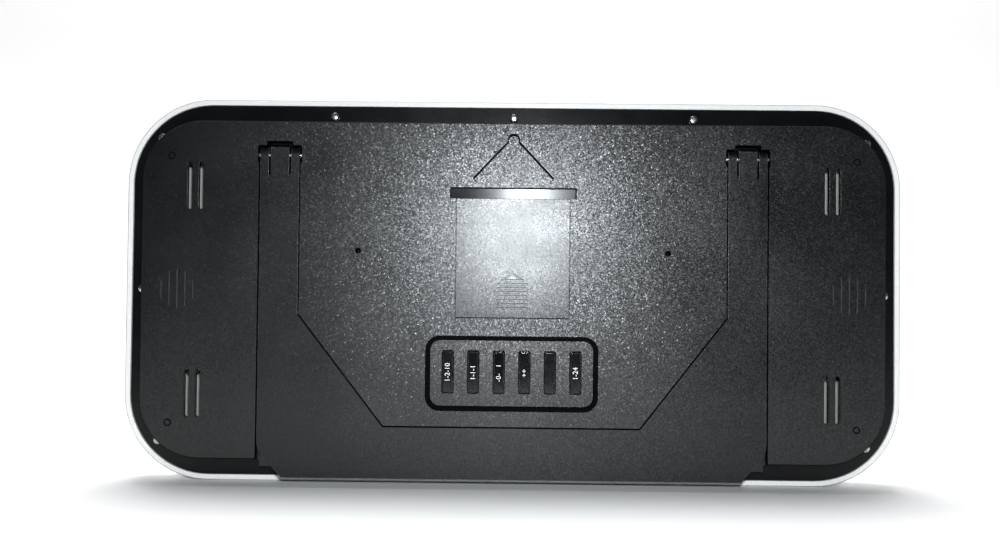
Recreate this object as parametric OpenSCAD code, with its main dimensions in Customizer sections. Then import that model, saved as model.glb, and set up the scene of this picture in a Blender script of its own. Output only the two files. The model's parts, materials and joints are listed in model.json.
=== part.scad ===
// Large LCD clock: light front housing, black back shell, fold-out stand.
// Origin at the bottom centre, +Z up, the display faces -Y and the stand folds out towards +Y.
// Outlines are drawn in the XZ plane and extruded along Y by slab().

/* [Overall] */
// Width of the front housing
body_w = 400; // [388:1:420]
// Height of the front housing
body_h = 197; // [192:1:215]
// Depth from the front face to the back of the raised panel
body_depth = 36; // [36:0.5:42]
// Corner radius of the front housing
corner_r = 44; // [36:1:48]

/* [Front housing] */
// Width of the rim left visible around the back shell
rim_w = 3.2; // [2.8:0.1:4]
// Thickness of the front wall
face_t = 2.5; // [2:0.1:3.5]
// Rounding of the front edge
front_edge_r = 5; // [2:0.5:7]
// Rounding of the back edge of the rim
rim_edge_r = 1; // [0.4:0.1:1.4]
// Width of the frame left and right of the window
border_w = 35; // [33:0.5:40]
// Width of the frame above and below the window
border_h = 31.5; // [30.5:0.5:34]
// Corner radius of the window
window_r = 8; // [4:1:16]
// Width of the bevel around the window
window_bevel = 1.5; // [0.8:0.1:1.8]

/* [Display] */
// Thickness of the front pane
pane_t = 2; // [1.5:0.1:2.5]
// Overlap of the pane behind the frame
pane_lap = 6; // [5:0.5:6.5]
// Thickness of the tape under the pane
tape_t = 0.3; // [0.2:0.05:0.4]
// Thickness of each sheet of LCD glass
glass_t = 1.1; // [0.7:0.1:1.3]
// Thickness of the segment layer between the sheets
cell_t = 0.25; // [0.15:0.05:0.4]
// Overlap of the LCD behind the frame
lcd_lap = 4; // [3:0.5:4.5]
// Height of the contact ledge along the bottom of the front glass
ledge_h = 5; // [4:0.5:5.5]
// Thickness of the reflector film
film_t = 0.25; // [0.15:0.05:0.4]
// Thickness of the carrier plate
carrier_t = 3; // [3:0.1:4]
// Height of the large digits
digit_h = 74; // [60:1:78]
// Height of the small digits
small_digit_h = 26; // [18:1:28]

/* [Back shell] */
// Wall thickness of the back shell
shell_t = 2.2; // [1.8:0.1:2.4]
// Flat width of the flange around the raised panel
flange_w = 7.9; // [7.5:0.1:9]
// Thickness of the flange
flange_t = 2; // [1.6:0.1:2.4]
// Depth of the flange below the edge of the rim
flange_drop = 0.9; // [0.5:0.1:1.4]
// Rise of the panel above the flange
panel_rise = 18.3; // [18:0.1:19]
// Sideways run of the sloped panel wall
panel_draft = 2.8; // [2:0.1:3.4]
// Bevel around the edge of the panel
panel_bevel = 0.55; // [0.3:0.05:1]

/* [Stand] */
// Width over the two arms
stand_w = 254; // [246:1:260]
// Width of one arm
arm_w = 19.5; // [18:0.5:22]
// Thickness of the arms
stand_t = 4.4; // [4:0.1:4.6]
// Thickness of the stand's face over its hollow underside
stand_face_t = 2.4; // [2:0.1:2.8]
// Gap between the stand and the sides of its recess
stand_gap = 0.7; // [0.5:0.1:0.9]
// Height of the foot of the stand above the ground
foot_lift = 4.9; // [4.5:0.1:5.3]
// Height of the cross bar
bar_h = 25.7; // [22:0.1:27]
// Width and height of the slanted corner between an arm and the bar
gusset = [43.3, 55.8];
// Width and height of the slant at the bottom corners
corner_cut = [12.6, 13.9];
// Radius where the slant meets the side of an arm
corner_knee_r = 12; // [4:1:20]
// Distance from the top of the panel to the hinge axis
hinge_drop = 16.05; // [14.5:0.1:18]
// Radius of the knuckle at the top of an arm
knuckle_r = 4; // [3.6:0.1:4.4]
// Radius of the spring tongue between the ears
tongue_r = 5.2; // [4.6:0.1:5.6]
// Width of the spring tongue
tongue_w = 9.2; // [7:0.1:10]
// Radius of the hinge pins
pin_r = 1.5; // [1.2:0.1:1.8]
// Length of the hinge pins
pin_len = 30; // [29.6:0.1:31]

/* [Battery door] */
// Width of the battery door
door_w = 56.8; // [55:0.2:58]
// Height of the battery door
door_h = 59.6; // [59:0.2:61]
// Thickness of the battery door
door_t = 2; // [1.8:0.1:2.2]
// Travel of the battery door
door_travel = 5; // [4:0.5:5.5]
// Number of grip grooves
grip_count = 8; // [5:1:9]

/* [Buttons] */
// Number of buttons
button_n = 6;
// Distance from button to button
button_pitch = 12.8; // [12:0.1:13.2]
// Width of a button cap
button_w = 5.2; // [4.6:0.1:5.6]
// Length of a button cap
button_l = 20.8; // [18:0.1:21.4]
// Travel of a button
button_travel = 0.8; // [0.4:0.1:0.9]
// Gap between a cap and its slot
button_gap = 0.5; // [0.3:0.05:0.6]
// Width and height of the button recess at the panel's face
button_bay = [86.4, 37.6];
// Depth of the button recess
button_bay_d = 2.8; // [2:0.1:3]

/* [Hanging recess] */
// Width of the triangular recess
hang_w = 40.8; // [36:0.2:44]
// Height of the triangular recess
hang_h = 24.8; // [23:0.2:26]
// Depth of the triangular recess
hang_d = 5; // [4.6:0.1:5.6]
// Radius of the nail seat at its top
hang_seat_r = 3.1; // [2.6:0.1:3.6]

/* [Fasteners] */
// Radius of the heads of the shell screws
head_r = 2.3; // [2:0.1:2.6]
// Radius of the shanks of the shell screws
shank_r = 1.15; // [0.9:0.05:1.3]
// Length of the shanks of the shell screws
shank_len = 10; // [8:0.5:11]
// Distance between neighbouring screws along the top and the bottom
screw_pitch = 93; // [86:1:98]

/* [Hidden] */
$fn = 48;
eps = 0.02;
// Clearances
fit = 0.2;
run_gap = 0.05;
seat_gap = 0.3;
thread_gap = 0.05;
press_gap = 0.02;

// Depth positions, from the front face to the back of the panel
front_y = -body_depth / 2;
back_y = body_depth / 2;
flange_y = back_y - panel_rise;
rim_y = flange_y + flange_drop;
flange_front_y = flange_y - flange_t;
face_back_y = front_y + face_t;
pane_y = face_back_y + tape_t;
lcd_y = pane_y + pane_t + fit;
cell_y = lcd_y + glass_t;
rear_glass_y = cell_y + cell_t;
film_y = rear_glass_y + glass_t;
carrier_y = film_y + film_t;
board_t = 1.6;
board_y = carrier_y + carrier_t;
board_back_y = board_y + board_t;
skin_y = back_y - shell_t;

// Outline positions
mid_z = body_h / 2;
panel_inset = rim_w + flange_w + panel_draft + panel_bevel;
panel_half_w = body_w / 2 - panel_inset;
panel_top = body_h - panel_inset;
housing_wall = rim_w - fit;
land_h = 0.3;
land_inset = 0.2;

// Window, pane and LCD
window_w = body_w - 2 * border_w;
window_h = body_h - 2 * border_h;
pane_w = window_w + 2 * pane_lap;
pane_h = window_h + 2 * pane_lap;
lcd_w = window_w + 2 * lcd_lap;
lcd_top = mid_z + window_h / 2 + lcd_lap;
rear_glass_bottom = mid_z - window_h / 2 - 3;
front_glass_bottom = rear_glass_bottom - ledge_h;
carrier_wall = 2;
carrier_lap = 7.5;
carrier_w = lcd_w + 2 * carrier_lap;
carrier_top = lcd_top + 9.8;
carrier_bottom = front_glass_bottom - 4;
strip_t = 2;
strip_side = 39;
strip_w = lcd_w - 2 * strip_side;

// Main board, as wide as the connector strip
board_w = strip_w;
board_h = 48;
board_bottom = carrier_bottom + 1.5;
board_top = board_bottom + board_h;
board_screw_side = 8;
board_screw_low = 12;
board_screw_high = 4;

// Shell screws: flange screws, then the three in pillars under the stand
screw_inset = rim_w + flange_w - head_r - seat_gap;
corner_screw_r = corner_r - screw_inset;
corner_screw_a = 42;
pillar_z = rim_w + 10.3;
pillar_r = 3.6;
boss_r = 3.2;
rib_t = 1.6;
rib_l = 3.2;
corner_mid = [body_w / 2 - corner_r, body_h / 2 - corner_r];
corner_screw = corner_mid + corner_screw_r * [cos(corner_screw_a), sin(corner_screw_a)];
flange_screws = [
    [0, body_h - screw_inset],
    [-screw_pitch, body_h - screw_inset],
    [screw_pitch, body_h - screw_inset],
    [screw_inset - body_w / 2, mid_z],
    [body_w / 2 - screw_inset, mid_z],
    for (sx = [-1, 1], sz = [-1, 1]) [sx * corner_screw.x, mid_z + sz * corner_screw.y]
];
pillar_screws = [for (k = [-1, 0, 1]) [k * screw_pitch, pillar_z]];

// Carrier screws
small_head_r = 2.1;
small_shank_r = 1;
small_boss_r = 2.6;
carrier_post_hole = 4.6;
carrier_screw_x = pane_w / 2 + small_boss_r + 1;
carrier_screw_top = 61;
carrier_screw_low = 31;
carrier_screws_at = [
    for (s = [-1, 1]) [s * carrier_screw_x, mid_z],
    for (s = [-1, 1]) [s * (pane_w / 2 - carrier_screw_top), mid_z + pane_h / 2 + small_boss_r + 1.2],
    for (s = [-1, 1])
        [s * (pane_w / 2 - carrier_screw_low), front_glass_bottom - carrier_wall - small_boss_r - 1.5]
];
board_screws_at = [
    for (s = [-1, -0.5, 0.5, 1], z = [board_bottom + board_screw_low, board_top - board_screw_high])
        [s * (board_w / 2 - board_screw_side), z]
];

// Stand and its recess
stand_y = back_y - 0.2;
stand_under_y = stand_y - stand_t;
recess_y = stand_under_y - 0.4;
recess_floor_t = 2;
stand_half = stand_w / 2;
inner_half = stand_half - arm_w;
arm_x = stand_half - arm_w / 2;
hinge_z = panel_top - hinge_drop;
hinge_y = stand_y - knuckle_r;
bar_top = foot_lift + bar_h;
gusset_top = bar_top + gusset.y;
knuckle_gap = 0.6;
slit_w = 1;
slit_len = 10.5;
pocket_half = arm_w / 2 + 1.35;
notch_half = tongue_w / 2 + 2.05;
pin_stop = 1.2;
stand_edge_t = 2.4;
lip_y = recess_y - 3;
shelf_z = foot_lift + 4.8;
shelf_half = stand_half - 0.4;
shelf_t = 2;

// Hanging recess, door pocket, battery door and button recess stand one above the other on the
// panel. The gaps over, between and below them share what height is left; they add up to gaps_h.
pocket_h = door_travel + 0.6;
gaps_h = 24.35;
spread = (panel_top - bar_top - hang_h - pocket_h - door_h - button_bay.y) / gaps_h;
hang_top = panel_top - 4.65 * spread;
hang_bottom = hang_top - hang_h;
hang_y = back_y - hang_d;
pocket_w = door_w + 6.6;
pocket_top = hang_bottom - 2.3 * spread;
door_top = pocket_top - pocket_h;
door_bottom = door_top - door_h;
door_gap = 0.4;
door_y = back_y - 0.1;
door_in_y = door_y - door_t;
ledge_y = door_in_y - seat_gap;
ledge_t = 2.2;
bay_wall = 2;
cell_r = 7.1;
cell_len = 50.5;
cell_pitch = 15;
contact_t = 0.4;
spring_len = 6;
dimple_h = 0.8;
plate = [11, 9.4];
tail_w = 3;
bay_h = cell_len + spring_len + 2 * contact_t + dimple_h;
bay_mid_z = (door_top + door_bottom) / 2;
bay_bottom = bay_mid_z - bay_h / 2;
bay_top = bay_mid_z + bay_h / 2;
bay_half = door_w / 2;
bay_back_y = ledge_y - ledge_t;
bay_floor_y = ledge_y - 2 * cell_r - 0.5;
cell_mid_y = bay_floor_y + cell_r + 0.1;
plate_y = cell_mid_y - plate.y / 2;
tail_y = bay_floor_y - bay_wall - 2.5;
opening_half = bay_half - 2;
catch_l = 6;
catch_t = 1.3;
catches_at = [door_bottom + 9.4, door_bottom + 42.4];

// Buttons, switches and their board
button_z = bar_top + 8.3 * spread + button_bay.y / 2;
slot_z = button_z + 0.6;
bay_slope = 2.45;
bay_r = 7.3;
button_floor_y = back_y - button_bay_d;
button_tray_y = button_floor_y - 2;
cap_y = button_floor_y + 1.8;
cap_flange_t = 0.9;
cap_flange_y = button_tray_y - seat_gap - cap_flange_t;
plunger_top_y = cap_flange_y - 0.4;
plunger_r = 1.7;
plunger_len = 2;
switch_w = 6;
switch_h = 3.5;
button_board_back_y = plunger_top_y - 0.9 - switch_h;
button_board_y = button_board_back_y - board_t;
button_board_w = button_bay.x - 0.4;
button_board_h = 26;
button_x = [for (i = [0:button_n - 1]) (i - (button_n - 1) / 2) * button_pitch];
button_screw_side = 3;
button_screw_dz = 9;
button_screws_at = [
    for (sx = [-1, 1], sz = [-1, 1])
        [sx * (button_board_w / 2 - button_screw_side), button_z + sz * button_screw_dz]
];

// Vents, grilles and small marks
vent_x = panel_half_w - 26.05;
vent_dz = 52;
vent_l = 23.7;
vent_w = 2;
vent_pitch = 5.6;
grille_x = panel_half_w - 18.5;
grille_lengths = [10, 18, 20.5, 18, 10];
grille_pitch = 4;
grille_w = 2;
grille_d = 0.8;
buzzer_y = skin_y - 5.5;
sensor_y = buzzer_y;
sensor_top_y = sensor_y + 1.2;
blind_hole = [77.4, mid_z + 20];
blind_r = 1.5;
mark_r = 1.9;
mark_dot_r = 1.15;
buzzer_r = 12;
corner_mark = [panel_half_w - 14, panel_top - mid_z - 17.3];

// Leads: their radius and, point by point, the way each one takes
lead_r = 0.6;
tail_lead_y = tail_y + 1;
pad_y = board_back_y + 0.01;
bend_y = board_back_y + 3;
pad_z = board_top - 3;
side_pad_x = board_w / 2 - 12;
black_lead_route = [
    [-cell_pitch, tail_lead_y, bay_bottom - 0.01], [-cell_pitch, tail_lead_y, bay_bottom - 3],
    [-cell_pitch, -2, pad_z + 8], [-cell_pitch, bend_y, pad_z], [-cell_pitch, pad_y, pad_z]
];
red_lead_route = [
    [cell_pitch, tail_lead_y, bay_top - contact_t - 0.01],
    [cell_pitch, tail_lead_y, bay_top - contact_t - 4],
    [cell_pitch + 1, -3, bay_top - 22], [cell_pitch + 1, -3, bay_bottom + 12],
    [cell_pitch, -2, pad_z + 10], [cell_pitch, bend_y, pad_z], [cell_pitch, pad_y, pad_z]
];
side_lead_route = [
    [grille_x - 3, buzzer_y - 0.01, 0], [grille_x - 3, buzzer_y - 3, 0], [side_pad_x + 38, 4, -10],
    [side_pad_x + 22, 0, -28], [side_pad_x + 6, -1, -42], [side_pad_x, bend_y, -44],
    [side_pad_x, pad_y, -44]
];

// Colours
light_plastic = [0.86, 0.88, 0.88];
black_plastic = [0.06, 0.065, 0.07];
satin_black = [0.09, 0.095, 0.1];
gloss_black = [0.03, 0.03, 0.035];
steel = [0.72, 0.73, 0.75];
board_green = [0.1, 0.32, 0.18];
white_plastic = [0.93, 0.93, 0.91];

// ---- Shared shapes ----

// Extrudes an outline drawn as [x, z] from y_from to y_to
module slab(y_from, y_to) {
    translate([0, y_to, 0])
        rotate([90, 0, 0])
            linear_extrude(y_to - y_from)
                children();
}

// Cylinder along Y at [x, z]
module post(at, r, y_from, y_to) {
    slab(y_from, y_to)
        translate(at)
            circle(r);
}

// Rounded rectangle around the origin
module round_rect(w, h, r) {
    square([w - 2 * r, h], center = true);
    square([w, h - 2 * r], center = true);
    for (sx = [-1, 1], sz = [-1, 1])
        translate([sx * (w / 2 - r), sz * (h / 2 - r)])
            circle(r);
}

// Rounded rectangle between two heights
module round_span(w, bottom, top, r) {
    translate([0, (bottom + top) / 2])
        round_rect(w, top - bottom, r);
}

// Rounded rectangle solid whose edge follows edge = [[inset, y], ...], front to back
module round_loft(w, h, r, edge) {
    last = len(edge) - 1;
    corner = concat([[0, edge[0].y]], [for (p = edge) [r - p.x, p.y]], [[0, edge[last].y]]);
    wide = concat([for (p = edge) [w / 2 - p.x, p.y]],
                  [for (i = [last:-1:0]) [edge[i].x - w / 2, edge[i].y]]);
    tall = concat([for (p = edge) [h / 2 - p.x, p.y]],
                  [for (i = [last:-1:0]) [edge[i].x - h / 2, edge[i].y]]);
    for (sx = [-1, 1], sz = [-1, 1])
        translate([sx * (w / 2 - r), 0, sz * (h / 2 - r)])
            rotate([-90, 0, 0])
                rotate_extrude($fn = 96)
                    polygon(corner);
    translate([0, 0, r - h / 2])
        linear_extrude(h - 2 * r)
            polygon(wide);
    translate([r - w / 2, 0, 0])
        rotate([0, 90, 0])
            linear_extrude(w - 2 * r)
                polygon(tall);
}

// Points of a quarter-round edge that grows from inset r at y to inset 0 at y + r
function front_round(r, y, n = 6) =
    [for (i = [0:n]) [r * (1 - sin(90 * i / n)), y + r * (1 - cos(90 * i / n))]];

// Points of a quarter-round edge that ends with inset r at y
function back_round(r, y, n = 4) =
    [for (i = [0:n]) [r * (1 - cos(90 * i / n)), y - r + r * sin(90 * i / n)]];

// Pan-head screw with a cross recess, head towards +Y, its seat at y
module pan_screw(at, y, r_head, r_shank, length) {
    head_h = 0.7 * r_head;
    slot = [0.25 * r_head, head_h, 1.15 * r_head];
    translate([at.x, y, at.y])
        difference() {
            rotate([-90, 0, 0])
                rotate_extrude()
                    polygon([
                        [0, -length], [r_shank * 0.5, -length], [r_shank, -length + r_shank],
                        [r_shank, 0], [r_head, 0], [r_head, head_h * 0.45],
                        [r_head * 0.87, head_h * 0.75], [r_head * 0.6, head_h * 0.93],
                        [0, head_h]
                    ]);
            for (a = [0, 90])
                rotate([0, a, 0])
                    translate([0, head_h, 0])
                        cube([slot.x, slot.y, slot.z], center = true);
        }
}

// ---- Front housing ----

module front_bezel() {
    color(light_plastic)
        difference() {
            translate([0, 0, mid_z])
                round_loft(body_w, body_h, corner_r, concat(
                    front_round(front_edge_r, front_y),
                    back_round(rim_edge_r, rim_y)));
            slab(face_back_y, rim_y + 1)
                round_span(body_w - 2 * housing_wall, housing_wall,
                           body_h - housing_wall, corner_r - housing_wall);
            window_cut();
            standing_relief();
        }
}

// Cuts the underside back around the long land on which the housing stands
module standing_relief() {
    land_front_y = front_y + front_edge_r + land_inset;
    land_back_y = rim_y - rim_edge_r - land_inset;
    land_d = land_back_y - land_front_y;
    difference() {
        translate([-body_w / 2, front_y, -1])
            cube([body_w, rim_y - front_y, 1 + land_h]);
        translate([0, (land_front_y + land_back_y) / 2, -2])
            linear_extrude(3 + land_h)
                round_rect(body_w - 2 * corner_r - 2 * land_inset, land_d, land_d / 2 - land_inset);
    }
}

// Screw posts behind the front wall, and the ribs on which the flange rests
module housing_posts() {
    color(light_plastic) {
        for (at = concat(flange_screws, pillar_screws))
            screw_post(at, boss_r, flange_front_y, shank_r, shank_len);
        for (at = carrier_screws_at)
            screw_post(at, small_boss_r, carrier_y, small_shank_r, carrier_post_hole);
        for (k = [-1.4, -0.5, 0.5, 1.4], z = [housing_wall, body_h - housing_wall - rib_l])
            slab(face_back_y, flange_front_y)
                translate([k * screw_pitch - rib_t / 2, z])
                    square([rib_t, rib_l]);
    }
}

// Post from the front wall to y_to with a blind hole for a screw's shank
module screw_post(at, r, y_to, hole_r, depth) {
    difference() {
        post(at, r, face_back_y, y_to);
        post(at, hole_r + thread_gap, y_to - depth, y_to + 1);
    }
}

// Window through the front wall, with a bevel on the front
module window_cut() {
    translate([0, 0, mid_z])
        round_loft(window_w + 2 * window_bevel, window_h + 2 * window_bevel,
                   window_r + window_bevel,
                   [[-1, front_y - 1], [0, front_y], [window_bevel, front_y + window_bevel],
                    [window_bevel, face_back_y + 1]]);
}

// ---- Display ----

module front_pane() {
    color([0.8, 0.85, 0.85, 0.35])
        slab(pane_y, pane_y + pane_t)
            translate([0, mid_z])
                round_rect(pane_w, pane_h, window_r);
}

module pane_tape() {
    color([0.15, 0.15, 0.15])
        slab(face_back_y, pane_y)
            translate([0, mid_z])
                difference() {
                    round_rect(pane_w - 1, pane_h - 1, window_r);
                    round_rect(pane_w - 8, pane_h - 8, window_r);
                }
}

module lcd_front_glass() {
    color([0.75, 0.8, 0.72, 0.4])
        slab(lcd_y, cell_y)
            translate([-lcd_w / 2, front_glass_bottom])
                square([lcd_w, lcd_top - front_glass_bottom]);
}

module lcd_rear_glass() {
    color([0.75, 0.8, 0.72, 0.4])
        slab(rear_glass_y, film_y)
            translate([-lcd_w / 2, rear_glass_bottom])
                square([lcd_w, lcd_top - rear_glass_bottom]);
}

module lcd_reflector() {
    color([0.78, 0.8, 0.72])
        slab(film_y, carrier_y)
            translate([-lcd_w / 2, rear_glass_bottom])
                square([lcd_w, lcd_top - rear_glass_bottom]);
}

// One bar of a digit: a pointed strip of length l and width w, along X
module digit_bar(l, w) {
    tip = w / 2;
    polygon([[0, 0], [tip, tip], [l - tip, tip], [l, 0], [l - tip, -tip], [tip, -tip]]);
}

// Seven-bar digit of height h with its lower left corner at the origin
module digit(number, h) {
    masks = [
        [1, 1, 1, 0, 1, 1, 1], [0, 0, 1, 0, 0, 1, 0], [1, 0, 1, 1, 1, 0, 1],
        [1, 0, 1, 1, 0, 1, 1], [0, 1, 1, 1, 0, 1, 0], [1, 1, 0, 1, 0, 1, 1],
        [1, 1, 0, 1, 1, 1, 1], [1, 0, 1, 0, 0, 1, 0], [1, 1, 1, 1, 1, 1, 1],
        [1, 1, 1, 1, 0, 1, 1]
    ];
    w = 0.14 * h;
    gap = 0.012 * h;
    l = (h - w) / 2;
    starts = [
        [0, 2 * l, 0], [0, l, 90], [l, l, 90], [0, l, 0], [0, 0, 90], [l, 0, 90], [0, 0, 0]
    ];
    for (i = [0:6])
        if (masks[number][i] == 1)
            translate([w / 2 + starts[i].x, w / 2 + starts[i].y])
                rotate(starts[i].z)
                    translate([gap, 0])
                        digit_bar(l - 2 * gap, w);
}

module lcd_segments() {
    time_digits = [1, 0, 0, 8];
    date_digits = [2, 4, 0, 6];
    step = 0.72 * digit_h;
    small_step = 0.72 * small_digit_h;
    colon = 0.3 * digit_h;
    time_left = -(4 * step + colon) / 2;
    time_z = mid_z + window_h / 2 - 8 - digit_h;
    date_z = mid_z - window_h / 2 + 9;
    temperature_x = window_w / 2 - 30 - 2 * small_step;
    color([0.08, 0.09, 0.08])
        slab(cell_y, rear_glass_y) {
            for (i = [0:3])
                translate([time_left + i * step + (i > 1 ? colon : 0), time_z])
                    digit(time_digits[i], digit_h);
            for (z = [0.3, 0.62])
                translate([time_left + 2 * step + 0.22 * colon, time_z + z * digit_h])
                    square(0.11 * digit_h);
            for (i = [0:3])
                translate([-window_w / 2 + 24 + i * small_step + (i > 1 ? 14 : 0), date_z])
                    digit(date_digits[i], small_digit_h);
            translate([-window_w / 2 + 24 + 2 * small_step + 1, date_z + 0.45 * small_digit_h])
                square([8, 3]);
            for (i = [0:1])
                translate([temperature_x + i * small_step, date_z])
                    digit(2 + i, small_digit_h);
            translate([temperature_x + 2 * small_step + 4, date_z + small_digit_h - 4])
                difference() {
                    circle(4);
                    circle(2.2);
                }
        }
}

module lcd_carrier() {
    glass_gap = 0.3;
    hole_w = lcd_w + 2 * glass_gap;
    inner_bottom = front_glass_bottom - glass_gap;
    inner_top = lcd_top + glass_gap;
    color(white_plastic)
        difference() {
            union() {
                slab(carrier_y, board_y) {
                    round_span(carrier_w, carrier_bottom, carrier_top, 12);
                    for (at = carrier_screws_at)
                        translate(at)
                            circle(small_head_r + 1.9);
                }
                slab(lcd_y - fit / 2, carrier_y + eps)
                    difference() {
                        round_span(hole_w + 2 * carrier_wall, inner_bottom - carrier_wall,
                                   inner_top + carrier_wall, 1);
                        translate([-hole_w / 2, inner_bottom])
                            square([hole_w, inner_top - inner_bottom]);
                    }
            }
            slab(carrier_y - 1, board_y + 1)
                translate([-strip_w / 2 - fit, strip_z() - strip_t / 2 - fit])
                    square([strip_w + 2 * fit, strip_t + 2 * fit]);
            for (at = carrier_screws_at)
                post(at, small_shank_r + fit, carrier_y - 1, board_y + 1);
            for (at = board_screws_at)
                post(at, small_shank_r + thread_gap, board_y - 2.5, board_y + 1);
        }
}

// Height of the middle of the connector strip, on the contact ledge
function strip_z() = front_glass_bottom + ledge_h / 2;

module connector_strip() {
    color([0.9, 0.6, 0.65])
        slab(cell_y, board_y)
            translate([-strip_w / 2, strip_z() - strip_t / 2])
                square([strip_w, strip_t]);
}

// ---- Main board ----

module main_board() {
    color(board_green)
        slab(board_y, board_back_y)
            difference() {
                round_span(board_w, board_bottom, board_top, 2);
                for (at = board_screws_at)
                    translate(at)
                        circle(small_shank_r + fit);
            }
}

module board_screws() {
    color(steel)
        for (at = board_screws_at)
            pan_screw(at, board_back_y, small_head_r, small_shank_r, board_t + 2.2);
}

module carrier_screws() {
    color(steel)
        for (at = carrier_screws_at)
            pan_screw(at, board_y, small_head_r, small_shank_r, carrier_t + 4.2);
}

// Flattened drop of resin on the board
module clock_chip() {
    blob_r = 8;
    blob_h = 1.8;
    steps = 6;
    color([0.05, 0.05, 0.05])
        translate([-30, board_back_y, board_top - 18])
            rotate([-90, 0, 0])
                rotate_extrude()
                    polygon(concat([[0, 0]], [
                        for (i = [0:steps])
                            [blob_r * cos(90 * i / steps), blob_h * sin(90 * i / steps)]
                    ]));
}

module quartz_crystal() {
    can_r = 1.1;
    color(steel)
        translate([-50, board_back_y + can_r + eps, board_top - 20])
            cylinder(r = can_r, h = 6.2);
}

module capacitors() {
    color([0.12, 0.14, 0.3])
        for (x = [34, 46])
            post([x, board_top - 16], 2.6, board_back_y, board_back_y + 6.4);
}

// ---- Back shell ----

// Opening of the U-shaped stand, shrunk by grow
module stand_opening(grow) {
    half = inner_half - grow;
    low = bar_top + grow;
    slant = atan2(gusset.x, gusset.y);
    side_z = gusset_top + grow * tan(slant / 2);
    foot_x = inner_half - gusset.x - grow * tan((90 - slant) / 2);
    high = body_h;
    polygon([
        [-foot_x, low], [foot_x, low], [half, side_z], [half, high], [-half, high], [-half, side_z]
    ]);
}

// Recess of the stand, widened by grow; it runs out below the panel
module stand_recess(grow) {
    half = stand_half + stand_gap + grow;
    difference() {
        translate([-half, -1])
            square([2 * half, hinge_z + knuckle_r + knuckle_gap + grow + 1]);
        stand_opening(stand_gap + grow);
    }
}

// Shape between the two shoulders of a hinge pocket, at one side
module hinge_pocket(half, reach, r) {
    round_span(2 * half, hinge_z - reach, hinge_z + reach, r);
}

// Both arms: children drawn around x = 0, with +X outwards, appear at each arm's middle
module at_arms() {
    for (s = [0, 1])
        mirror([s, 0, 0])
            translate([arm_x, 0, 0])
                children();
}

// Outer solid of the shell: flange, sloped walls and panel
module shell_outer() {
    translate([0, 0, mid_z])
        round_loft(body_w, body_h, corner_r, [
            [rim_w, flange_front_y], [rim_w, flange_y],
            [rim_w + flange_w, flange_y],
            [panel_inset - panel_bevel, back_y - panel_bevel],
            [panel_inset, back_y]
        ]);
    slab(flange_front_y, recess_y)
        translate([-shelf_half, shelf_z])
            square([2 * shelf_half, bar_top]);
}

// Hollow of the shell behind its skin
module shell_inner() {
    wall = rim_w + flange_w + shell_t;
    translate([0, 0, mid_z])
        round_loft(body_w, body_h, corner_r, [
            [wall, flange_front_y - 1], [wall, flange_y],
            [panel_inset + shell_t, skin_y]
        ]);
    slab(flange_front_y - 1, recess_y - recess_floor_t)
        translate([-shelf_half + shelf_t, shelf_z + shelf_t])
            square([2 * (shelf_half - shelf_t), bar_top - shelf_t]);
}

// Blocks behind the skin that carry the floors and walls of the recesses
module shell_trays() {
    slab(recess_y - recess_floor_t, back_y - 0.5)
        stand_recess(recess_floor_t);
    at_arms() {
        slab(hinge_y - tongue_r - 2.4, skin_y + 1)
            hinge_pocket(pin_len / 2 + pin_stop, tongue_r + 3.4, 2);
    }
    slab(hang_y - 2, back_y - 0.5)
        hang_outline(2);
    slab(button_tray_y, back_y - 0.5)
        translate([0, button_z])
            round_rect(button_bay.x + 3, button_bay.y + 3, bay_r + 1.5);
    slab(bay_floor_y - bay_wall, back_y - 0.5)
        translate([-bay_half - bay_wall, bay_bottom - bay_wall])
            square([2 * (bay_half + bay_wall), bay_h + 2 * bay_wall]);
    slab(bay_back_y, back_y - 0.5)
        translate([-pocket_w / 2 - 2, bay_top - 4])
            square([pocket_w + 4, pocket_top + 2 - bay_top + 4]);
    for (at = pillar_screws)
        post(at, pillar_r, flange_front_y, recess_y - 1);
    for (sx = [-1, 1])
        post([sx * blind_hole.x, blind_hole.y], 2 * blind_r, skin_y - 7, skin_y + 1);
    for (at = button_screws_at)
        post(at, small_shank_r + 1.3, button_board_back_y, button_tray_y + eps);
    for (dz = [-5, 5])
        post([-grille_x, mid_z + dz], 1.5, sensor_top_y, skin_y + eps);
}

// Triangular hanging recess with the nail seat at its top
module hang_outline(grow) {
    half = hang_w / 2;
    seat_z = hang_top - hang_seat_r;
    polygon([
        [-half + 1.8 - 0.4 * grow, hang_bottom - grow],
        [half - 1.8 + 0.4 * grow, hang_bottom - grow],
        [half + 1.4 * grow, hang_bottom + 2.4 - 0.4 * grow],
        [hang_seat_r * 0.75 + 0.4 * grow, seat_z + grow],
        [-hang_seat_r * 0.75 - 0.4 * grow, seat_z + grow],
        [-half - 1.4 * grow, hang_bottom + 2.4 - 0.4 * grow]
    ]);
    translate([0, seat_z])
        circle(hang_seat_r + grow);
}

module back_shell() {
    color(black_plastic)
        difference() {
            union() {
                difference() {
                    shell_outer();
                    shell_inner();
                }
                intersection() {
                    shell_outer();
                    shell_trays();
                }
            }
            stand_cuts();
            battery_cuts();
            button_cuts();
            panel_cuts();
        }
    color(black_plastic)
        bay_ribs();
}

module stand_cuts() {
    slab(recess_y, back_y + 1)
        stand_recess(0);
    at_arms() {
        slab(hinge_y - knuckle_r - knuckle_gap, back_y + 1)
            hinge_pocket(pocket_half, knuckle_r + knuckle_gap, 1.2);
        slab(hinge_y - tongue_r - 0.4, back_y + 1)
            hinge_pocket(notch_half, tongue_r + 1.5, 1);
        translate([-pin_len / 2 - 2 * pin_stop, hinge_y, hinge_z])
            rotate([0, 90, 0])
                cylinder(r = pin_r + press_gap, h = pin_len + 2 * pin_stop);
    }
}

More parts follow.
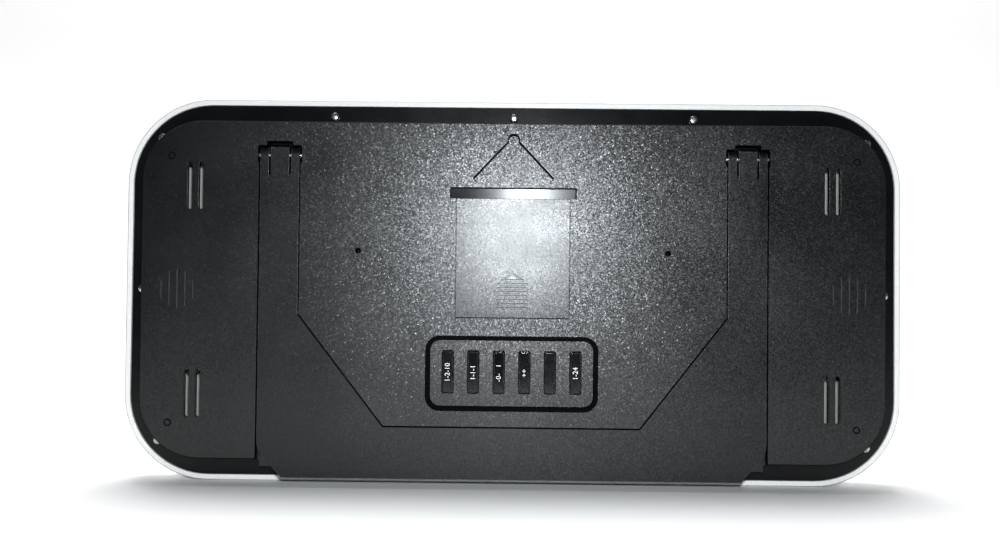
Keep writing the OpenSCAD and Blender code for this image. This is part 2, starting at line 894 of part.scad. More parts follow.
module battery_cuts() {
    slab(ledge_y, back_y + 1)
        translate([-door_w / 2 - door_gap, door_bottom - door_gap])
            square([door_w + 2 * door_gap, door_h + 2 * door_gap]);
    translate([-pocket_w / 2, 0, 0])
        rotate([90, 0, 90])
            linear_extrude(pocket_w)
                polygon([
                    [ledge_y - 0.6, door_top], [ledge_y, pocket_top],
                    [back_y + 1, pocket_top], [back_y + 1, door_top]
                ]);
    slab(bay_floor_y, bay_back_y)
        translate([-bay_half, bay_bottom])
            square([2 * bay_half, bay_h]);
    slab(bay_back_y - 1, ledge_y + 1)
        translate([-opening_half, bay_bottom + 1.5])
            square([2 * opening_half, bay_h - 3]);
    for (s = [-1, 1], z = catches_at)
        slab(bay_back_y - 1, ledge_y + 1)
            translate([s * (bay_half - 1) - 1.2, z + door_travel - 0.5])
                square([2.4, catch_l + 1]);
    for (tail = [[-cell_pitch, bay_bottom], [cell_pitch, bay_top - contact_t - fit]])
        slab(bay_floor_y - bay_wall - 1, bay_floor_y + 1)
            translate([tail.x - tail_w / 2 - fit, tail.y])
                square([tail_w + 2 * fit, contact_t + fit]);
}

// Ribs that keep the cells apart in the bay
module bay_ribs() {
    for (x = [-1.5 * cell_pitch - 0.9, -cell_pitch / 2, cell_pitch / 2, 1.5 * cell_pitch + 0.9])
        slab(bay_floor_y - eps, bay_floor_y + 2.6)
            translate([x - 0.5, bay_bottom + 8])
                square([1, bay_h - 16]);
}

module button_cuts() {
    translate([0, 0, button_z])
        round_loft(button_bay.x, button_bay.y, bay_r,
                   [[bay_slope, button_floor_y], [0, back_y], [-1, back_y + 1]]);
    for (x = button_x)
        slab(button_tray_y - 1, button_floor_y + 1)
            translate([x, slot_z])
                round_rect(button_w + 2 * button_gap, button_l + 2 * button_gap, 1.2);
    for (at = button_screws_at)
        post(at, small_shank_r + thread_gap, button_board_back_y - 1, button_board_back_y + 3.4);
}

module panel_cuts() {
    slab(hang_y, back_y + 1)
        hang_outline(0);
    for (at = concat(flange_screws, pillar_screws))
        post(at, shank_r + 0.35, flange_front_y - 1, flange_y + 1);
    for (at = pillar_screws)
        post(at, head_r + 0.45, flange_y, recess_y + 1);
    for (sx = [-1, 1], sz = [-1, 1]) {
        for (k = [-0.5, 0.5])
            vent_slot([sx * vent_x + k * vent_pitch, mid_z + sz * vent_dz]);
        slab(back_y - 0.5, back_y + 1)
            translate([sx * corner_mark.x, mid_z + sz * corner_mark.y])
                difference() {
                    circle(mark_r);
                    circle(mark_dot_r);
                }
    }
    for (sx = [-1, 1]) {
        post([sx * blind_hole.x, blind_hole.y], blind_r, skin_y - 5, back_y + 1);
        for (i = [0:len(grille_lengths) - 1])
            slab(back_y - grille_d, back_y + 1)
                translate([sx * grille_x + (i - 2) * grille_pitch, mid_z])
                    round_rect(grille_w, grille_lengths[i], grille_w / 2 - eps);
    }
}

// Slot through the panel with a wider lead-in
module vent_slot(at) {
    slab(skin_y - 1, back_y + 1)
        translate(at)
            round_rect(vent_w, vent_l, vent_w / 2 - eps);
    slab(back_y - 0.6, back_y + 1)
        translate(at)
            round_rect(vent_w + 0.8, vent_l + 0.8, vent_w / 2 + 0.4 - eps);
}

module shell_screws() {
    color(steel)
        for (at = concat(flange_screws, pillar_screws))
            pan_screw(at, flange_y, head_r, shank_r, shank_len);
}

// ---- Stand ----

// Outline of the stand, shrunk by trim
module stand_outline(trim) {
    half = stand_half - trim;
    low = foot_lift + trim;
    difference() {
        translate([-half, low])
            square([2 * half, hinge_z - low]);
        stand_opening(-trim);
        for (s = [0, 1])
            mirror([s, 0])
                stand_corner(trim);
    }
}

// What the slant and its rounded knee take off the lower left corner
module stand_corner(trim) {
    slant = atan2(corner_cut.x, corner_cut.y);
    knee = [corner_knee_r - stand_half,
            foot_lift + corner_cut.y + corner_knee_r * tan(slant / 2)];
    r = corner_knee_r - trim;
    touch = knee - r * [cos(slant), sin(slant)];
    below = foot_lift - 1;
    difference() {
        polygon([
            [-stand_half - 1, knee.y], knee, touch,
            [touch.x + (touch.y - below) * tan(slant), below], [-stand_half - 1, below]
        ]);
        translate(knee)
            circle(r);
    }
}

module stand() {
    color(satin_black)
        difference() {
            union() {
                slab(stand_under_y, stand_y)
                    stand_outline(0);
                slab(lip_y, stand_y - 1)
                    intersection() {
                        stand_outline(0);
                        translate([-stand_half, foot_lift])
                            square([stand_w, stand_edge_t]);
                    }
                at_arms()
                    stand_knuckle();
            }
            difference() {
                slab(stand_under_y - 1, stand_y - stand_face_t)
                    stand_hollow();
                stand_ribs();
            }
            at_arms() {
                for (s = [-1, 1])
                    slab(hinge_y - tongue_r - 1, stand_y + 1)
                        translate([s * (tongue_w + slit_w) / 2 - slit_w / 2, hinge_z - slit_len])
                            square([slit_w, slit_len + tongue_r + 1]);
                translate([-arm_w, hinge_y, hinge_z])
                    rotate([0, 90, 0])
                        cylinder(r = pin_r + run_gap, h = 2 * arm_w);
            }
        }
}

// Hollow underside, kept clear of the hinges
module stand_hollow() {
    solid_from = hinge_z - slit_len - 4;
    difference() {
        stand_outline(stand_edge_t);
        translate([-stand_half, solid_from])
            square([stand_w, body_h - solid_from]);
    }
}

// Ribs across the hollow underside
module stand_ribs() {
    web_t = 1.4;
    arm_step = 24;
    bar_step = (inner_half - gusset.x) / 2;
    for (x = [-1.5, -0.5, 0.5, 1.5])
        slab(stand_under_y - 2, stand_y)
            translate([x * bar_step - web_t / 2, foot_lift])
                square([web_t, bar_h]);
    for (s = [-1, 1], k = [-1:2])
        slab(stand_under_y - 2, stand_y)
            translate([s * arm_x - arm_w, gusset_top + k * arm_step])
                square([2 * arm_w, web_t]);
}

// Ears and spring tongue around the hinge axis
module stand_knuckle() {
    translate([-arm_w / 2, hinge_y, hinge_z])
        rotate([0, 90, 0])
            cylinder(r = knuckle_r, h = arm_w, $fn = 64);
    intersection() {
        translate([-tongue_w / 2, hinge_y, hinge_z])
            rotate([0, 90, 0])
                cylinder(r = tongue_r, h = tongue_w, $fn = 64);
        slab(hinge_y - 2 * tongue_r, stand_y)
            translate([-arm_w, hinge_z - 2 * tongue_r])
                square([2 * arm_w, 4 * tongue_r]);
    }
}

module hinge_pins() {
    color(steel)
        at_arms()
            translate([-pin_len / 2, hinge_y, hinge_z])
                rotate([0, 90, 0])
                    cylinder(r = pin_r, h = pin_len);
}

// ---- Battery door, cells and contacts ----

module battery_door() {
    grip_w = 14.9;
    grip_z = door_bottom + 4.8;
    grip_t = 0.9;
    color(satin_black)
        difference() {
            union() {
                slab(door_in_y, door_y)
                    round_span(door_w, door_bottom, door_top, 0.6);
                for (s = [-1, 1], z = catches_at)
                    door_catch(s, z);
            }
            for (i = [0:grip_count - 1])
                slab(door_y - 0.5, door_y + 1)
                    translate([0, grip_z + 2 * i])
                        square([i < grip_count - 1 ? grip_w : grip_w - 4, grip_t], center = true);
            slab(door_y - 0.5, door_y + 1)
                translate([0, grip_z + 2 * grip_count - 1])
                    polygon([[-4, 0], [0, 2.6], [4, 0], [2.8, 0], [0, 1.7], [-2.8, 0]]);
        }
}

// Hooked catch under one side of the door
module door_catch(side, z) {
    leg_out = opening_half - 0.3;
    leg_x = side > 0 ? leg_out - catch_t : -leg_out;
    foot_x = side > 0 ? leg_out - catch_t : -leg_out - 1.5;
    slab(bay_back_y - 1.8, door_in_y + eps)
        translate([leg_x, z])
            square([catch_t, catch_l]);
    slab(bay_back_y - 1.8, bay_back_y - seat_gap)
        translate([foot_x, z])
            square([catch_t + 1.5, catch_l]);
}

// One cell with its nub up, or down when flipped
module battery_cell(x, flipped) {
    nub_h = 1.2;
    base = bay_bottom + contact_t + (flipped ? dimple_h : spring_len);
    color([0.2, 0.22, 0.25])
        translate([x, cell_mid_y, base + (flipped ? cell_len : 0)])
            mirror([0, 0, flipped ? 1 : 0])
                rotate_extrude()
                    polygon([
                        [0, 0], [cell_r - 0.6, 0], [cell_r, 0.6], [cell_r, cell_len - nub_h - 0.6],
                        [cell_r - 0.6, cell_len - nub_h], [2.7, cell_len - nub_h],
                        [2.7, cell_len - 0.3], [2.4, cell_len], [0, cell_len]
                    ]);
}

module battery_1() {
    battery_cell(-cell_pitch, false);
}

module battery_2() {
    battery_cell(0, true);
}

module battery_3() {
    battery_cell(cell_pitch, false);
}

// Conical coil of round wire that stands on z = 0 and ends at height h
module coil(r_low, r_high, h, turns, wire) {
    sides = 8;
    steps = 14 * turns;
    rise = h - 2 * wire;
    ring = [for (i = [0:steps]) let (t = i / steps, a = 360 * turns * t, r = r_low + (r_high - r_low) * t)
        for (k = [0:sides - 1]) let (b = 360 * k / sides, q = r + wire * cos(b))
            [q * cos(a), q * sin(a), wire + rise * t + wire * sin(b)]];
    walls = [for (i = [0:steps - 1], k = [0:sides - 1]) let (n = (k + 1) % sides)
        [i * sides + k, i * sides + n, (i + 1) * sides + n, (i + 1) * sides + k]];
    ends = [[for (k = [0:sides - 1]) sides - 1 - k], [for (k = [0:sides - 1]) steps * sides + k]];
    polyhedron(points = ring, faces = concat(ends, walls));
}

module battery_springs() {
    play = 0.05;
    h = spring_len - 2 * play;
    low_r = 4.6;
    high_r = 3.2;
    wire_r = 0.35;
    color(steel) {
        for (x = [-cell_pitch, cell_pitch])
            translate([x, cell_mid_y, bay_bottom + contact_t + play])
                coil(low_r, high_r, h, 4, wire_r);
        translate([0, cell_mid_y, bay_top - contact_t - play])
            mirror([0, 0, 1])
                coil(low_r, high_r, h, 4, wire_r);
    }
}

// Plate at one end of the bay across cells from_i to to_i; end is 0 below and 1 above
module contact_plate(from_i, to_i, end) {
    translate([from_i * cell_pitch - plate.x / 2, plate_y, contact_z(end)])
        cube([(to_i - from_i) * cell_pitch + plate.x, plate.y, contact_t]);
}

// Dimple that meets the nub of cell i
module contact_dimple(i, end) {
    translate([i * cell_pitch, cell_mid_y, contact_z(end) + (end == 1 ? -dimple_h : contact_t - eps)])
        cylinder(r = 2, h = dimple_h + eps);
}

// Tail through the floor of the bay behind cell i
module contact_tail(i, end) {
    translate([i * cell_pitch - tail_w / 2, tail_y, contact_z(end)])
        cube([tail_w, plate_y - tail_y + eps, contact_t]);
}

function contact_z(end) = end == 1 ? bay_top - contact_t : bay_bottom;

// The cells are joined in series: below left, above left to middle, below middle to right, above right
module battery_contacts() {
    color(steel) {
        contact_plate(-1, -1, 0);
        contact_tail(-1, 0);
        contact_plate(-1, 0, 1);
        contact_dimple(-1, 1);
        contact_plate(0, 1, 0);
        contact_dimple(0, 0);
        contact_plate(1, 1, 1);
        contact_dimple(1, 1);
        contact_tail(1, 1);
    }
}

// ---- Buttons ----

module button_cap(x) {
    color(gloss_black) {
        translate([x, 0, slot_z])
            round_loft(button_w, button_l, 1, [
                [0, cap_flange_y + eps], [0, cap_y - 0.6], [0.25, cap_y - 0.18], [0.7, cap_y]
            ]);
        slab(cap_flange_y, cap_flange_y + cap_flange_t)
            translate([x, slot_z])
                round_rect(button_w + 2.4, button_l + 2.4, 1.2);
        post([x, slot_z], plunger_r - 0.2, plunger_top_y, cap_flange_y + eps);
    }
}

module plunger(x) {
    color([0.75, 0.72, 0.65])
        post([x, slot_z], plunger_r, plunger_top_y - plunger_len, plunger_top_y);
}

module button_1() {
    button_cap(button_x[0]);
}

module button_2() {
    button_cap(button_x[1]);
}

module button_3() {
    button_cap(button_x[2]);
}

module button_4() {
    button_cap(button_x[3]);
}

module button_5() {
    button_cap(button_x[4]);
}

module button_6() {
    button_cap(button_x[5]);
}

module plunger_1() {
    plunger(button_x[0]);
}

module plunger_2() {
    plunger(button_x[1]);
}

module plunger_3() {
    plunger(button_x[2]);
}

module plunger_4() {
    plunger(button_x[3]);
}

module plunger_5() {
    plunger(button_x[4]);
}

module plunger_6() {
    plunger(button_x[5]);
}

module switches() {
    color([0.15, 0.15, 0.16])
        for (x = button_x)
            difference() {
                slab(button_board_back_y, button_board_back_y + switch_h)
                    translate([x, slot_z])
                        square(switch_w, center = true);
                post([x, slot_z], plunger_r + 0.1, button_board_back_y + 1,
                     button_board_back_y + switch_h + 1);
            }
}

module button_board() {
    color(board_green)
        slab(button_board_y, button_board_back_y)
            difference() {
                translate([0, button_z])
                    round_rect(button_board_w, button_board_h, 2);
                for (at = button_screws_at)
                    translate(at)
                        circle(small_shank_r + fit);
            }
}

// These screws enter from the front, so they are the pan screw turned about
module button_board_screws() {
    color(steel)
        for (at = button_screws_at)
            translate([at.x, button_board_y, at.y])
                rotate([0, 0, 180])
                    pan_screw([0, 0], 0, small_head_r, small_shank_r, board_t + 3);
}

// Flat cable in an S between the two boards
module flat_cable() {
    bend = 3;
    film = 0.6;
    top = button_z - 1;
    mid = top - 4 - bend;
    foot = mid - bend;
    color([0.82, 0.83, 0.85])
        translate([-8, 0, 0])
            rotate([90, 0, 90])
                linear_extrude(16) {
                    translate([button_board_y - film, top - 4])
                        square([film, 4]);
                    translate([button_board_y - film / 2 - bend, top - 4])
                        cable_bend(bend, film, -90);
                    translate([board_back_y + film / 2 + bend, mid - film / 2])
                        square([button_board_y - board_back_y - film - 2 * bend, film]);
                    translate([board_back_y + film / 2 + bend, foot])
                        cable_bend(bend, film, 90);
                    translate([board_back_y, foot - 4])
                        square([film, 4]);
                }
}

// Quarter bend of the flat cable around the origin
module cable_bend(r, t, turn) {
    rotate(turn)
        intersection() {
            difference() {
                circle(r + t / 2);
                circle(r - t / 2);
            }
            square(r + t);
        }
}

// ---- Sound, sensor and leads ----

module buzzer() {
    color([0.05, 0.05, 0.06])
        difference() {
            post([grille_x, mid_z], buzzer_r, buzzer_y, skin_y);
            post([grille_x, mid_z], 1.6, skin_y - 3, skin_y + 1);
        }
}

module temperature_sensor() {
    color([0.1, 0.3, 0.2]) {
        slab(sensor_y, sensor_top_y)
            translate([-grille_x, mid_z])
                round_rect(8, 16, 1);
        post([-grille_x, mid_z], 1.8, sensor_top_y - eps, sensor_top_y + 2);
    }
}

// Wire along points, as a tube of radius r; no stretch of it runs along X
module wire(points, r) {
    sides = 8;
    last = len(points) - 1;
    ahead = [for (i = [0:last]) unit(points[min(i + 1, last)] - points[max(i - 1, 0)])];
    ring = [for (i = [0:last]) let (u = unit(cross(ahead[i], [1, 0, 0])), v = cross(ahead[i], u))
        for (k = [0:sides - 1])
            points[i] + r * (cos(360 * k / sides) * u + sin(360 * k / sides) * v)];
    walls = [for (i = [0:last - 1], k = [0:sides - 1]) let (n = (k + 1) % sides)
        [i * sides + k, (i + 1) * sides + k, (i + 1) * sides + n, i * sides + n]];
    ends = [[for (k = [0:sides - 1]) k], [for (k = [0:sides - 1]) last * sides + sides - 1 - k]];
    polyhedron(points = ring, faces = concat(ends, walls));
}

function unit(v) = v / norm(v);

// Point on a smooth curve through a, b, c and d, between b and c
function on_curve(a, b, c, d, t) =
    0.5 * (2 * b + t * (c - a) + t * t * (2 * a - 5 * b + 4 * c - d) + t * t * t * (3 * b - a - 3 * c + d));

// Route through the given points: smooth, with a straight stub at each end
function route(p, n = 5) =
    let (last = len(p) - 1)
    concat([p[0]], [for (i = [1:last - 2], k = [0:n - 1])
        on_curve(p[i - 1], p[i], p[i + 1], p[i + 2], k / n)], [p[last - 1], p[last]]);

// A route drawn for the +X side, moved up by rise and carried over to the other side by side = -1
function on_side(p, side, rise) = [for (q = p) [side * q.x, q.y, mid_z + q.z + rise]];

// Black from the lower left tail, red from the upper right one down behind the bay
module battery_leads() {
    color([0.08, 0.08, 0.08])
        wire(route(black_lead_route), lead_r);
    color([0.75, 0.08, 0.06])
        wire(route(red_lead_route), lead_r);
}

module buzzer_leads() {
    color([0.75, 0.08, 0.06])
        wire(route(on_side(side_lead_route, 1, -2)), lead_r);
    color([0.08, 0.08, 0.08])
        wire(route(on_side(side_lead_route, 1, 2)), lead_r);
}

module sensor_leads() {
    color([0.85, 0.85, 0.82])
        for (rise = [-2, 2])
            wire(route(on_side(side_lead_route, -1, rise)), lead_r);
}

front_bezel();
housing_posts();
front_pane();
pane_tape();
lcd_front_glass();
lcd_segments();
lcd_rear_glass();
lcd_reflector();
lcd_carrier();
connector_strip();
main_board();
clock_chip();
quartz_crystal();
capacitors();
board_screws();
carrier_screws();
back_shell();
shell_screws();
stand();
hinge_pins();
battery_door();
battery_1();
battery_2();
battery_3();
battery_springs();
battery_contacts();
button_1();
button_2();
button_3();
button_4();
button_5();
button_6();
plunger_1();
plunger_2();
plunger_3();
plunger_4();
plunger_5();
plunger_6();
switches();
button_board();
button_board_screws();
flat_cable();
buzzer();
temperature_sensor();
battery_leads();
buzzer_leads();
sensor_leads();
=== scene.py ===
import json
import math

import bmesh
import bpy
from bpy.props import (
    FloatProperty,
    FloatVectorProperty,
    IntProperty,
    PointerProperty,
    StringProperty,
)
from mathutils import Euler, Matrix, Vector


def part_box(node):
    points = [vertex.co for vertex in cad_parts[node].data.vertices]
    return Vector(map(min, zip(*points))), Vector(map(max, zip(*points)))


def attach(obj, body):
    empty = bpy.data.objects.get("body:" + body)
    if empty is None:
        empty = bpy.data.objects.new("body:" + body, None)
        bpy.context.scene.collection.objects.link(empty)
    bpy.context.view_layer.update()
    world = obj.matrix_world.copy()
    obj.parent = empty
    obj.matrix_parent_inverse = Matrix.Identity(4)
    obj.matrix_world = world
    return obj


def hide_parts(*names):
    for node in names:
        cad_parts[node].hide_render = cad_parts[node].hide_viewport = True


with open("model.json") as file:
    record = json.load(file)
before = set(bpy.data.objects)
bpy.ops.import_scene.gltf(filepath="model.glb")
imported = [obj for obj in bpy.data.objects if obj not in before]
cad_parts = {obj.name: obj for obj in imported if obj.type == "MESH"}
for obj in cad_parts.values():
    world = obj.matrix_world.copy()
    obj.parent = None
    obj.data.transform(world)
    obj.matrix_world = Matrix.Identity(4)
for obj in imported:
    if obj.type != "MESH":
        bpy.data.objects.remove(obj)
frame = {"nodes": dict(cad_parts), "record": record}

bl_info = {
    "name": "LCD Clock",
    "version": (1, 0, 0),
    "blender": (4, 5, 0),
    "location": "View3D > Sidebar > Clock",
    "description": "Finishes, legends and studio for a large LCD clock seen from its back",
    "category": "Object",
}

MM = 0.001
CAPS = [f"button_{i}" for i in range(1, 7)]
PLUNGERS = [f"plunger_{i}" for i in range(1, 7)]
CELLS = ("battery_1", "battery_2", "battery_3")
LEVEL = 0.97  # a face with more Y than this in its normal looks straight back
# Of these slots, the fourth is painted shade in recesses, holes and gaps, and the fifth a painted highlight
# on the grilles' grooves.
GRAINED, SMOOTH, POLISHED, PAINTED_SHADE, GROOVE_HIGHLIGHT = range(5)  # material slots of the shell


# ---- Settings ----


def colour(name, description, default):
    return FloatVectorProperty(
        name=name, description=description, default=default, size=3, subtype="COLOR", min=0.0, max=1.0
    )


def length(name, description, default, low=0.0, high=1.0):
    return FloatProperty(
        name=name, description=description, default=default, min=low, max=high,
        subtype="DISTANCE", unit="LENGTH", precision=5,
    )


def share(name, description, default):
    return FloatProperty(
        name=name, description=description, default=default, min=0.0, max=1.0, subtype="FACTOR"
    )


class ShellSettings(bpy.types.PropertyGroup):
    shell_colour: colour("Shell colour", "Black plastic of the back shell", (0.0042, 0.0044, 0.0047))
    stand_colour: colour("Stand colour", "Black plastic of the stand and the door", (0.0045, 0.0047, 0.005))
    satin_tilt: share("Satin tilt", "How far the facets of the stand's grain lean", 0.1)
    door_tilt: share("Door tilt", "How far the facets of the door's grain lean", 0.035)
    # The stand's edge tone is rubbed wear and also a painted highlight along its edges.
    stand_wear_and_highlight: colour("Worn stand colour", "Tone of the rubbed edges of the stand", (0.09, 0.092, 0.095))
    worn_colour: colour("Worn edge colour", "Tone of the rubbed edges", (0.035, 0.036, 0.038))
    stand_edge: length("Stand edge radius", "Rounding of the stand's edges", 0.00055, 0.0001, 0.001)
    door_edge: length("Door edge radius", "Rounding of the door's edges", 0.00018, 0.0001, 0.001)
    grain_size: length("Grain size", "Width of one grain of the panel", 0.0005, 0.0002, 0.005)
    grain_depth: length("Grain depth", "Depth of the panel's grain", 0.000008, 0.0, 0.001)
    grain_tilt: share("Grain tilt", "How far the facets of the panel's grain lean", 0.105)
    satin_size: length("Satin grain size", "Width of one grain of the stand", 0.00045, 0.0002, 0.005)
    satin_depth: length("Satin grain depth", "Depth of the stand's grain", 0.000004, 0.0, 0.001)
    edge: length("Edge rounding", "Width of the rounded edges of moulded pieces", 0.00035, 0.0, 0.002)
    # The grilles' groove tone is lighter than the shell: a painted highlight on the grooves' walls and
    # edges.
    groove_highlight_colour: colour("Groove colour", "Tone of the grilles' groove edges", (0.07, 0.071, 0.073))
    blind_x: length("Blind hole aside", "Distance of the blind holes from the middle", 0.0774)
    blind_z: length("Blind hole up", "Height of the blind holes over the middle of the shell", 0.02)
    panel_inset: length("Panel inset", "Distance from the shell's outline to the panel's", 0.01125)
    panel_radius: length("Panel corner", "Corner radius of the panel", 0.0296)
    mark_x: length("Corner mark aside", "Distance of the corner marks from the middle", 0.17155)
    mark_z: length("Corner mark up", "Height of the corner marks above the middle", 0.06675)
    pocket_lean: FloatVectorProperty(
        name="Pocket lean", description="How the polished floor of the door's pocket leans its gloss",
        default=(0.0095, 0.0, 0.069), precision=4,
    )
    grille_x: length("Grille aside", "Distance of the grilles from the middle", 0.16705)
    grille_reach: length("Grille reach", "Half the width of a grille", 0.0115)


class HousingSettings(bpy.types.PropertyGroup):
    housing_colour: colour(
        "Housing colour", "Silver-white plastic of the front housing", (0.88, 0.865, 0.85)
    )
    housing_roughness: share("Housing roughness", "Roughness of the front housing", 0.28)
    edge: length("Edge rounding", "Width of the rounded edges of the housing", 0.0003, 0.0, 0.002)


class ButtonSettings(bpy.types.PropertyGroup):
    cap_colour: colour("Cap colour", "Glossy plastic of the button caps", (0.003, 0.003, 0.0033))
    cap_roughness: share("Cap roughness", "Roughness of the button caps", 0.12)
    rubbed_colour: colour("Rubbed cap colour", "Tone of the caps' rubbed edges", (0.05, 0.051, 0.053))
    edge: length("Edge rounding", "Width of the rounded edges of the caps", 0.0004, 0.0, 0.002)
    legend_colour: colour("Legend colour", "Printed marks on the caps", (0.82, 0.83, 0.84))
    legend_height: length("Legend height", "Height of the printed marks", 0.0025, 0.0, 0.005)
    legend_sink: length("Legend sink", "How far the printed marks reach into the caps", 0.00004, 0.0, 0.001)
    legends: StringProperty(
        name="Legends",
        description="Marks on the caps from the first to the last, with commas between them",
        default="1-24,,++,-0-   1,1-1-1,1-2-10",
    )


class ScrewSettings(bpy.types.PropertyGroup):
    head_radius: length("Head radius", "Radius of the shell screws' heads", 0.0023, 0.001, 0.005)
    turn_seed: IntProperty(
        name="Turn seed", description="Seed of the turn at which each screw stopped", default=7, min=0
    )


class SpringSettings(bpy.types.PropertyGroup):
    wire: length("Wire radius", "Radius of the spring wire", 0.00035, 0.0001, 0.001)
    turns: FloatProperty(
        name="Turns", description="Turns of each battery spring", default=4.0, min=1.0, max=9.0
    )
    wide: length("Wide end", "Radius of a spring at its seat", 0.0046, 0.001, 0.01)
    narrow: length("Narrow end", "Radius of a spring at the cell", 0.0032, 0.001, 0.01)


class StageSettings(bpy.types.PropertyGroup):
    floor_colour: colour("Floor colour", "Pale floor and sweep", (0.9, 0.9, 0.9))
    camera_place: FloatVectorProperty(
        name="Camera place", description="Where the camera stands",
        default=(0.00256, 0.5174, 0.09945), subtype="TRANSLATION", unit="LENGTH", precision=5,
    )
    camera_turn: FloatVectorProperty(
        name="Camera turn", description="How the camera is turned",
        default=(math.radians(91.211), math.radians(-0.610), math.radians(-179.585)),
        subtype="EULER", unit="ROTATION",
    )
    lens: FloatProperty(
        name="Lens", description="Focal length on a 36 mm sensor", default=36.0, min=10.0, max=200.0
    )
    lamp_power: FloatProperty(
        name="Front lamp", description="Power of the lamp above the camera in watts", default=2.5, min=0.0
    )
    lamp_rise: length("Front lamp up", "Height of the front lamp above the camera", 0.06)
    lamp_aside: length("Front lamp aside", "Offset of the front lamp along X", -0.011, -1.0)
    key_power: FloatProperty(
        name="Overhead lamp", description="Power of the large lamp overhead in watts", default=9.0, min=0.0
    )
    wash_power: FloatProperty(
        name="Backdrop lamps", description="Power of each lamp that washes the backdrop in watts",
        default=50.0, min=0.0,
    )
    sky: FloatProperty(name="Sky", description="Light from the surroundings", default=0.05, min=0.0)
    sky_seen: FloatProperty(
        name="Sky seen", description="Brightness of the bare surroundings", default=0.95, min=0.0
    )


# ---- Materials ----


class Finish:
    """A new material with short ways to add and join nodes."""

    def __init__(self, name):
        self.material = bpy.data.materials.new(name)
        self.material.use_nodes = True
        self.tree = self.material.node_tree
        self.shader = self.tree.nodes["Principled BSDF"]
        self.place = self.add("ShaderNodeTexCoord").outputs["Object"]

    def add(self, kind, **values):
        node = self.tree.nodes.new(kind)
        for key, value in values.items():
            setattr(node, key, value)
        return node

    def feed(self, socket, value):
        if isinstance(value, bpy.types.NodeSocket):
            self.tree.links.new(value, socket)
        else:
            socket.default_value = value

    def set(self, **values):
        for key, value in values.items():
            self.feed(self.shader.inputs[key.replace("_", " ")], value)

    def noise(self, size, detail=2.0, roughness=0.5, distortion=0.0):
        node = self.add("ShaderNodeTexNoise")
        self.feed(node.inputs["Vector"], self.place)
        node.inputs["Scale"].default_value = 1.0 / size
        node.inputs["Detail"].default_value = detail
        node.inputs["Roughness"].default_value = roughness
        node.inputs["Distortion"].default_value = distortion
        return node.outputs["Fac"]

    def spread(self, value, low, high, to_low, to_high):
        node = self.add("ShaderNodeMapRange")
        self.feed(node.inputs["Value"], value)
        for key, number in zip(("From Min", "From Max", "To Min", "To Max"), (low, high, to_low, to_high)):
            node.inputs[key].default_value = number
        return node.outputs["Result"]

    def math(self, kind, a, b):
        node = self.add("ShaderNodeMath", operation=kind)
        self.feed(node.inputs[0], a)
        self.feed(node.inputs[1], b)
        return node.outputs[0]

    def blend(self, amount, a, b):
        node = self.add("ShaderNodeMix", data_type="RGBA")
        self.feed(node.inputs["Factor"], amount)
        self.feed(node.inputs[6], a)
        self.feed(node.inputs[7], b)
        return node.outputs[2]

    def edge(self):
        """1 on the rounded edges of a softened piece, broken up as if rubbed: rubbed wear, which on the
        stand is also a painted highlight and on the housing painted shade.
        """
        mark = self.add("ShaderNodeAttribute", attribute_name="edge").outputs["Fac"]
        return self.math("MULTIPLY", mark, self.spread(self.noise(0.004, 3.0), 0.42, 0.6, 0.25, 1.0))

    def bump(self, height, distance, under=None):
        node = self.add("ShaderNodeBump")
        node.inputs["Strength"].default_value = 1.0
        node.inputs["Distance"].default_value = distance
        self.feed(node.inputs["Height"], height)
        if under is not None:
            self.feed(node.inputs["Normal"], under)
        return node.outputs["Normal"]

    def leaning(self, way):
        """Normal of a surface that leans the way of a vector."""
        leant = self.add("ShaderNodeVectorMath", operation="ADD")
        self.feed(leant.inputs[0], self.add("ShaderNodeNewGeometry").outputs["Normal"])
        self.feed(leant.inputs[1], way)
        even = self.add("ShaderNodeVectorMath", operation="NORMALIZE")
        self.feed(even.inputs[0], leant.outputs[0])
        return even.outputs[0]

    def cells(self, size):
        """Three random shares for every small cell of the surface, as one vector."""
        cell = self.add("ShaderNodeTexVoronoi")
        self.feed(cell.inputs["Vector"], self.place)
        cell.inputs["Scale"].default_value = 1.0 / size
        return cell.outputs["Color"]

    def facets(self, cell, tilt):
        """Normal that leans its own way on every small cell, far on a few of them."""
        usual, seldom = 0.9 * tilt, 1.6 * tilt
        way = self.add("ShaderNodeVectorMath", operation="SUBTRACT")
        self.feed(way.inputs[0], cell)
        way.inputs[1].default_value = (0.5, 0.5, 0.5)
        chance = self.add("ShaderNodeSeparateXYZ")
        self.feed(chance.inputs[0], cell)
        amount = self.math("MULTIPLY_ADD", self.math("POWER", chance.outputs["Y"], 3.0), seldom)
        amount.node.inputs[2].default_value = usual
        lean = self.add("ShaderNodeVectorMath", operation="SCALE")
        self.feed(lean.inputs[0], way.outputs[0])
        self.feed(lean.inputs["Scale"], amount)
        return self.leaning(lean.outputs[0])

    def coordinate(self, axis):
        node = self.add("ShaderNodeSeparateXYZ")
        self.feed(node.inputs[0], self.place)
        return node.outputs[axis]


def rgba(c):
    return (c[0], c[1], c[2], 1.0)


def lighter(c, factor):
    return tuple(min(1.0, v * factor) for v in c[:3]) + (1.0,)


